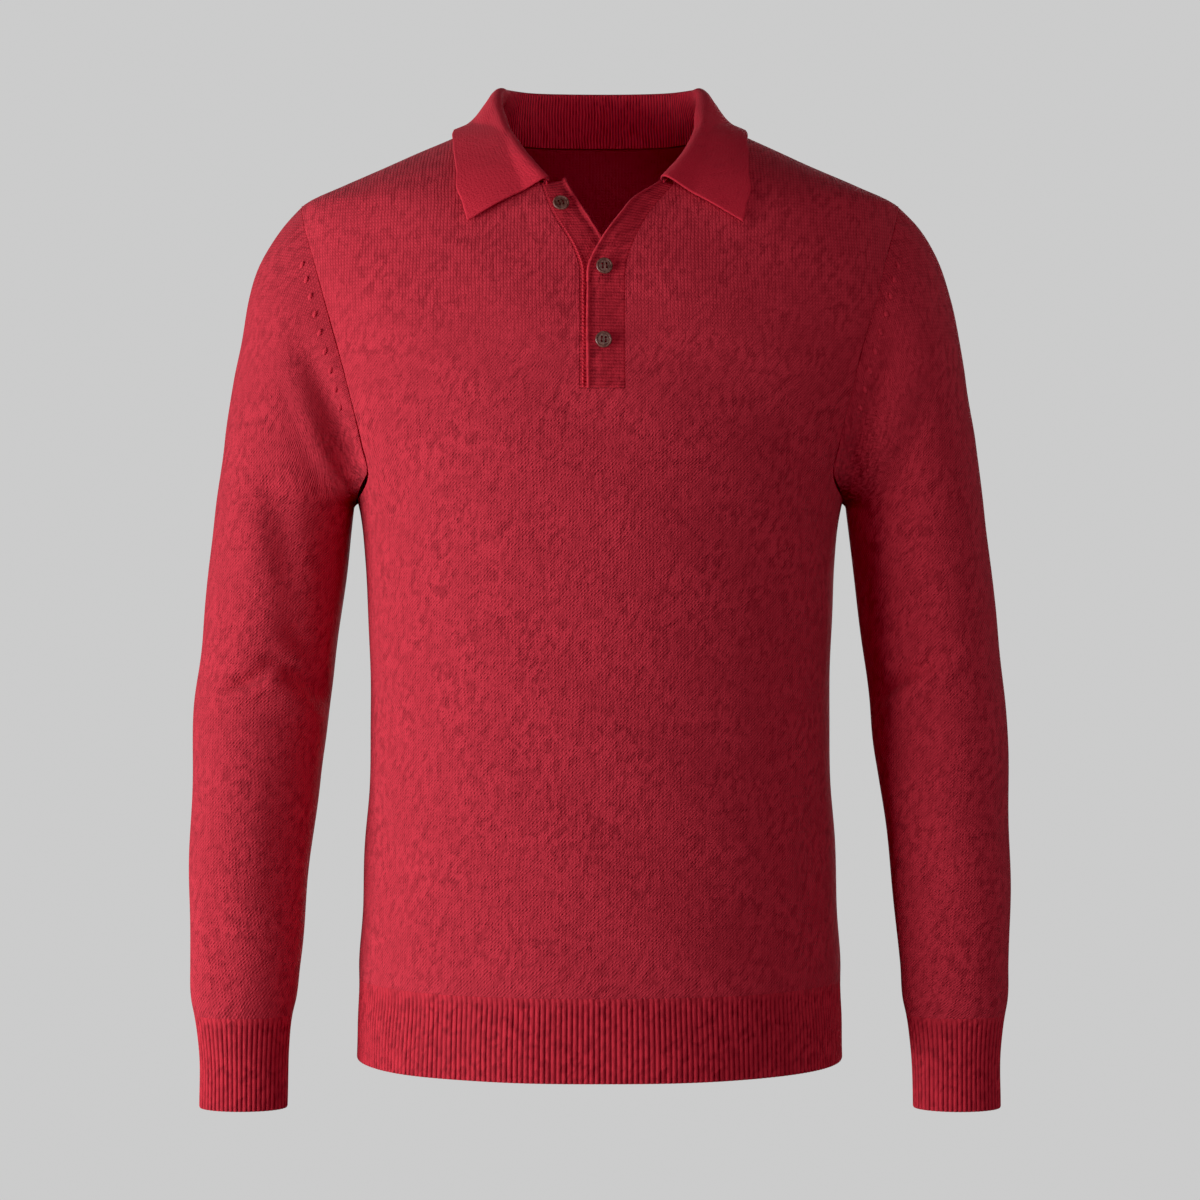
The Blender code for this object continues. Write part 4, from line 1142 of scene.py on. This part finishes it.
def collar_half(along, across, half):
    shift = COLLAR_OFFSET * half * np.clip(1 - along / 0.3, 0, 1)

    def fold_at(place):
        return np.stack([read(COLLAR, "fold_" + axis, place) for axis in "xyz"], axis=-1)

    fold, neck = fold_at(along), neckline(along, half)
    edge_angle = np.radians(read(COLLAR, "edge_angle", along))
    edge_z = read(COLLAR, "edge_z", along)
    ahead = torso(edge_angle, edge_z, -1)
    behind = torso(math.pi - edge_angle, edge_z, 1)
    edge = np.where((edge_angle < math.pi / 2)[..., None], ahead, behind)
    fold[..., 0] += shift
    edge[..., 0] += shift
    tangent = fold_at(along + 0.01) - fold_at(along - 0.01)
    stand, fall = fold - neck, edge - fold
    up = unit(stand) - unit(fall)
    up = unit(up - unit(tangent) * np.sum(up * unit(tangent), axis=-1, keepdims=True))
    out = np.cross(unit(tangent), up)
    lines = {"neck": neck, "fold": fold, "edge": edge, "out": out, "up": up}
    points = sum(line * read(COLLAR_PROFILE, name, across)[..., None] for name, line in lines.items())
    hollow = read(COLLAR, "hollow", along) * read(COLLAR_PROFILE, "hollow", across)
    points = points - out * hollow[..., None]
    cleared = clear_of_body(points, COLLAR_CLEARANCE)
    return mix(points, cleared, np.clip(across - 3, 0, 1)[..., None])


def collar(u, v):
    """The collar: columns run from the wearer's right front round the back to the left front."""
    column = (1 - u) * (2 * FRONT_COLUMNS + BACK_COLUMNS)
    across = v * COLLAR_PROFILE["across"][-1]
    half = column <= FRONT_COLUMNS + BACK_COLUMNS / 2
    from_end = np.where(half, column, 2 * FRONT_COLUMNS + BACK_COLUMNS - column)
    along = np.where(
        from_end < FRONT_COLUMNS,
        from_end / FRONT_COLUMNS * 0.5,
        0.5 + (from_end - FRONT_COLUMNS) / BACK_COLUMNS,
    )
    right = collar_half(along, across, -1) * (-1, 1, 1)
    left = collar_half(along, across, 1)
    return np.where(half[..., None], right, left)


def collar_relief(u, v, across, along, edges):
    """A thin rolled border round the leaves, and painted shade on the collar's ends where they turn over
    the fold.
    """
    end = np.minimum(edges["left"], edges["right"])
    edge = np.minimum(edges["top"], end)
    # Painted shade on the ends where they turn over the fold.
    shade = 0.9 * np.exp(-((end / 0.0016) ** 2)) * np.exp(-(((v - 0.43) / 0.10) ** 2))
    return 0.00035 * np.exp(-(((edge - 0.0016) / 0.0010) ** 2)), 0, shade


def folded(points, across):
    """Courses that run along the strip, with the fold 40 mm up from its foot all the way."""
    crest = 3 / COLLAR_PROFILE["across"][-1]
    return across, np.interp(collar_rows, (0, crest, 1), (0, 0.040, 0.100))[:, None] + 0 * across


collar_rows = spaced(0.110, 0.0020)
collar_wool = knitted(
    "fine_wool_collar_rib", "C62A3C", "600A16", 0.0015, 0.0024, 1.0, drawn=0.5, stand=0.035
)
made = cloth(
    "collar_knit",
    spaced(0.480, 0.0024),
    collar_rows,
    collar,
    COLLAR_WALL,
    collar_wool,
    relief=collar_relief,
    rolled="left right top",
    laid_out=folded,
)
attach(made, "root")
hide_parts("collar")

# The linking seams. The collar and the under strip are joined on stitch by stitch in the same yarn,
# and each seam shows as a chain of small raised loops.


def chain(surface, us, vs, way, raised):
    """Places along a line of a surface, each with the way on and the normal that way points to."""
    points = surface(us, vs)
    along = np.gradient(points, axis=0)
    beside = surface(us + 1e-3, vs) - surface(us - 1e-3, vs)
    above = surface(us, vs + 1e-3) - surface(us, vs - 1e-3)
    normals = unit(np.cross(beside, above)) * way
    return [(p + n * raised, a + 0.5 * np.cross(n, a), n) for p, a, n in zip(points, along, normals)]


stretch = even(lambda u, v: collar(u, 0 * v + 0.012), 148)
for name, places, slot_name in (
    ("collar_linking", chain(collar, stretch[2:-2], 0 * stretch[2:-2] + 0.012, 1, 0.0006), "red_rib"),
    (
        "placket_linking",
        chain(placket_under, 0 * np.linspace(0, 1, 74) + 0.10, np.linspace(0.01, 0.98, 74), 1, 0.0),
        "red_rib",
    ),
):
    made = loops_on(name, places, (0.00135, 0.0008, 0.0006), rib_wool)
    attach(made, "root")


# The buttons. Three turned four-hole buttons in brown resin with a rolled rim, 11.4 mm across, sewn
# on with red thread.

BUTTON_RADIUS, BUTTON_THICKNESS, BUTTON_SEAT = 0.0057, 0.0024, 0.0007
HOLE_RADIUS, HOLE_OUT = 0.00078, 0.0020
THREAD_RADIUS = 0.00016
BUTTON_SECTION = (
    (0.0, 0.0),
    (BUTTON_RADIUS - 0.0010, 0.0),
    (BUTTON_RADIUS, 0.0008),
    (BUTTON_RADIUS, BUTTON_THICKNESS - 0.0006),
    (BUTTON_RADIUS - 0.0006, BUTTON_THICKNESS),
    (BUTTON_RADIUS - 0.0012, BUTTON_THICKNESS - 0.0001),
    (BUTTON_RADIUS - 0.0016, BUTTON_THICKNESS - 0.0005),
    (BUTTON_RADIUS - 0.0020, BUTTON_THICKNESS - 0.0002),
    (0.0, BUTTON_THICKNESS - 0.0003),
)
# Each button's name, its strip, its place across and its height, and how far it has turned, in degrees.
BUTTONS = (
    ("button_1", "under", -0.0272, -0.0535, 20),
    ("button_2", "over", 0.0028, -0.0988, 4),
    ("button_3", "over", 0.0021, -0.1500, -3),
)


def strip_seat(strip_name, x, height):
    """Where a button's back lies over a strip's face at x and a height, and the normal there."""
    surface = placket_over if strip_name == "over" else placket_under
    points = surface(*np.meshgrid(np.linspace(0, 1, 101), np.linspace(0, 1, 301))).reshape(-1, 3)
    middle = points[np.argmin(np.hypot(points[:, 0] - x, points[:, 2] - height))]
    covered = points[np.linalg.norm(points - middle, axis=1) < BUTTON_RADIUS] - middle
    normal = np.linalg.svd(covered)[2][2]
    normal *= -np.sign(normal[1])
    rise = (covered @ normal).max() + BUTTON_SEAT
    return Vector(middle + normal * rise), Vector(normal)


# Cast polyester, tumbled dull: a cloudy dark brown, like horn, with a soft highlight.
resin, tree, shader = material("brown_polyester_resin")
shader.inputs["Roughness"].default_value = 0.36
shader.inputs["IOR"].default_value = 1.54
shader.inputs["Specular IOR Level"].default_value = 0.3
place = node(tree, "ShaderNodeTexCoord").outputs["Object"]
swirl = node(
    tree,
    "ShaderNodeTexNoise",
    {"Vector": place, "Scale": 260.0, "Detail": 3.0, "Roughness": 0.55, "Distortion": 1.6},
).outputs[0]
swirl = node(
    tree,
    "ShaderNodeMapRange",
    {"Value": swirl, "From Min": 0.35, "From Max": 0.65},
    interpolation_type="SMOOTHSTEP",
).outputs[0]
horn = node(
    tree,
    "ShaderNodeMix",
    {"Factor": swirl, "A": linear("522E28"), "B": linear("7E544C")},
    data_type="RGBA",
)
tree.links.new(horn.outputs["Result"], shader.inputs["Base Color"])

# Twisted sewing thread: a dark matt red, flecked by its twist.
thread, tree, shader = material("red_sewing_thread")
shader.inputs["Roughness"].default_value = 0.8
shader.inputs["Specular IOR Level"].default_value = 0.2
place = node(tree, "ShaderNodeTexCoord").outputs["Object"]
twist = node(tree, "ShaderNodeTexNoise", {"Vector": place, "Scale": 2500.0, "Detail": 1.0}).outputs[0]
spun = node(
    tree,
    "ShaderNodeMix",
    {"Factor": twist, "A": linear("3A060C"), "B": linear("6C0E18")},
    data_type="RGBA",
)
tree.links.new(spun.outputs["Result"], shader.inputs["Base Color"])

for name, strip_name, x, height, spin in BUTTONS:
    seat, normal = strip_seat(strip_name, x, height)
    at = Matrix.Translation(seat) @ normal.to_track_quat("Z", "Y").to_matrix().to_4x4()
    at = at @ Matrix.Rotation(math.radians(spin), 4, "Z")
    turned = bmesh.new()
    section = [turned.verts.new((radius, 0, rise)) for radius, rise in BUTTON_SECTION]
    profile = section + [turned.edges.new(pair) for pair in zip(section, section[1:])]
    bmesh.ops.spin(turned, geom=profile, axis=(0, 0, 1), angle=2 * math.pi, steps=64, use_merge=True)
    bmesh.ops.remove_doubles(turned, verts=turned.verts, dist=1e-6)
    rounded = [edge for edge in turned.edges if edge.calc_face_angle(0) > 0.3]
    bmesh.ops.bevel(
        turned, geom=rounded, offset=0.00022, segments=3, profile=0.5, affect="EDGES", material=-1
    )
    bmesh.ops.recalc_face_normals(turned, faces=turned.faces)
    made = put_in_scene(name + "_resin", mesh_of(name + "_resin", turned), resin)
    punches = bmesh.new()
    for corner in range(4):
        around = math.radians(45 + 90 * corner)
        offset = Vector((math.cos(around), math.sin(around), 0)) * HOLE_OUT
        bmesh.ops.create_cone(
            punches,
            cap_ends=True,
            segments=20,
            radius1=HOLE_RADIUS,
            radius2=HOLE_RADIUS,
            depth=4 * BUTTON_THICKNESS,
            matrix=Matrix.Translation(offset),
        )
    punch = bpy.data.objects.new(name + "_punches", mesh_of(name + "_punches", punches))
    bpy.context.scene.collection.objects.link(punch)
    holes = made.modifiers.new("holes", "BOOLEAN")
    holes.operation = "DIFFERENCE"
    holes.object = punch
    bpy.context.view_layer.update()
    drilled = bpy.data.meshes.new_from_object(made.evaluated_get(bpy.context.evaluated_depsgraph_get()))
    made.modifiers.clear()
    bpy.data.objects.remove(punch, do_unlink=True)
    made.data = drilled
    drilled.transform(at)
    drilled.shade_smooth()
    drilled.set_sharp_from_angle(angle=math.radians(35))
    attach(made, "root")
    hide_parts(name)
    # Two stitches of doubled thread, each from one hole to the next.
    stitches = bmesh.new()
    for way in (-1, 1):
        for turn in (-1, 1):
            arc = [
                Vector((way * HOLE_OUT * 0.7 + turn * 0.00018, reach * HOLE_OUT * 0.74, rise))
                for reach, rise in ((-1, 0.0012), (-0.8, 0.00215), (0, 0.0024), (0.8, 0.00215), (1, 0.0012))
            ]
            ring = bmesh.ops.create_circle(
                stitches, segments=8, radius=THREAD_RADIUS, matrix=Matrix.Translation(arc[0])
            )["verts"]
            ring_edges = [edge for edge in stitches.edges if all(v in ring for v in edge.verts)]
            for before, after in zip(arc, arc[1:]):
                grown = bmesh.ops.extrude_edge_only(stitches, edges=ring_edges)["geom"]
                ring = [part for part in grown if isinstance(part, bmesh.types.BMVert)]
                ring_edges = [part for part in grown if isinstance(part, bmesh.types.BMEdge)]
                bmesh.ops.translate(stitches, vec=after - before, verts=ring)
    bmesh.ops.recalc_face_normals(stitches, faces=stitches.faces)
    mesh = mesh_of(name + "_thread", stitches)
    mesh.transform(at)
    mesh.shade_smooth()
    sewn = put_in_scene(name + "_thread", mesh, thread)
    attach(sewn, "root")


# The studio. A pale seamless sweep turned about the object, whose floor curves up into the wall on
# every side, and five softboxes, of which the strongest stands on the wearer's right. The sweep glows
# evenly by itself and lights nothing.

FLOOR, FLAT_RADIUS, BEND, WALL_TOP = -1.25, 3.2, 1.6, 6.0
sweep = bmesh.new()
outline = [(0.0, FLOOR), (FLAT_RADIUS, FLOOR)]
for bend in np.linspace(0.1, 1.57, 14):
    outline += [(FLAT_RADIUS + BEND * math.sin(bend), FLOOR + BEND * (1 - math.cos(bend)))]
outline += [(FLAT_RADIUS + BEND, WALL_TOP)]
corners = [sweep.verts.new((radius, 0, rise)) for radius, rise in outline]
profile = corners + [sweep.edges.new(pair) for pair in zip(corners, corners[1:])]
bmesh.ops.spin(sweep, geom=profile, axis=(0, 0, 1), angle=2 * math.pi, steps=96, use_merge=True)
bmesh.ops.remove_doubles(sweep, verts=sweep.verts, dist=1e-5)
bmesh.ops.recalc_face_normals(sweep, faces=sweep.faces)
bmesh.ops.reverse_faces(sweep, faces=sweep.faces)
mesh = mesh_of("studio_sweep", sweep)
mesh.shade_smooth()
# Matt paper, a plain pale grey without shadows. It glows by itself, so it looks evenly lit all over.
paper, tree, shader = material("pale_grey_paper")
shader.inputs["Base Color"].default_value = (0.0, 0.0, 0.0, 1)
shader.inputs["Specular IOR Level"].default_value = 0.0
shader.inputs["Emission Color"].default_value = linear("CCCCCC")
shader.inputs["Emission Strength"].default_value = 1.0
floor = put_in_scene("studio_sweep", mesh, paper)
floor.visible_diffuse = False
floor.visible_glossy = False
floor.visible_shadow = False

world = bpy.data.worlds.new("studio_air")
world.use_nodes = True
world.node_tree.nodes["Background"].inputs["Color"].default_value = (1.0, 1.0, 1.0, 1)
world.node_tree.nodes["Background"].inputs["Strength"].default_value = 0.035
bpy.context.scene.world = world

LIGHT_DISTANCE = 2.8
target = Vector((0, 0, -0.33))  # the middle of the sweater
for name, turn, lift, energy in (
    ("key_softbox", -68, -8, 108.0),
    ("fill_softbox", 46, -5, 13.0),
    ("side_softbox", 110, 8, 6.0),
    ("back_softbox", 170, 12, 48.0),
    ("front_softbox", 0, 16, 15.0),
):
    turn, lift = math.radians(turn), math.radians(lift)
    place = Vector((math.sin(turn) * math.cos(lift), -math.cos(turn) * math.cos(lift), math.sin(lift)))
    place = target + place * LIGHT_DISTANCE
    lamp = bpy.data.lights.new(name, "AREA")
    lamp.shape = "RECTANGLE"
    lamp.size, lamp.size_y = 1.7, 2.0
    lamp.energy = energy
    light = bpy.data.objects.new(name, lamp)
    light.location = place
    light.rotation_euler = (target - place).to_track_quat("-Z", "Y").to_euler()
    bpy.context.scene.collection.objects.link(light)

camera_data = bpy.data.cameras.new("camera")
camera_data.lens, camera_data.sensor_width = 88.4, 36
camera_data.clip_start, camera_data.clip_end = 0.05, 40
camera = bpy.data.objects.new("camera", camera_data)
camera.location = (0, -2.15, -0.3285)
camera.rotation_euler = (math.pi / 2, 0, 0)
bpy.context.scene.collection.objects.link(camera)
bpy.context.scene.camera = camera
# The picture's black point is raised a little, so that the darkest reds lose their last grey.
view = bpy.context.scene.view_settings
view.view_transform = "Standard"
view.use_curve_mapping = True
view.curve_mapping.black_level = (0.004, 0.004, 0.004)
view.curve_mapping.update()
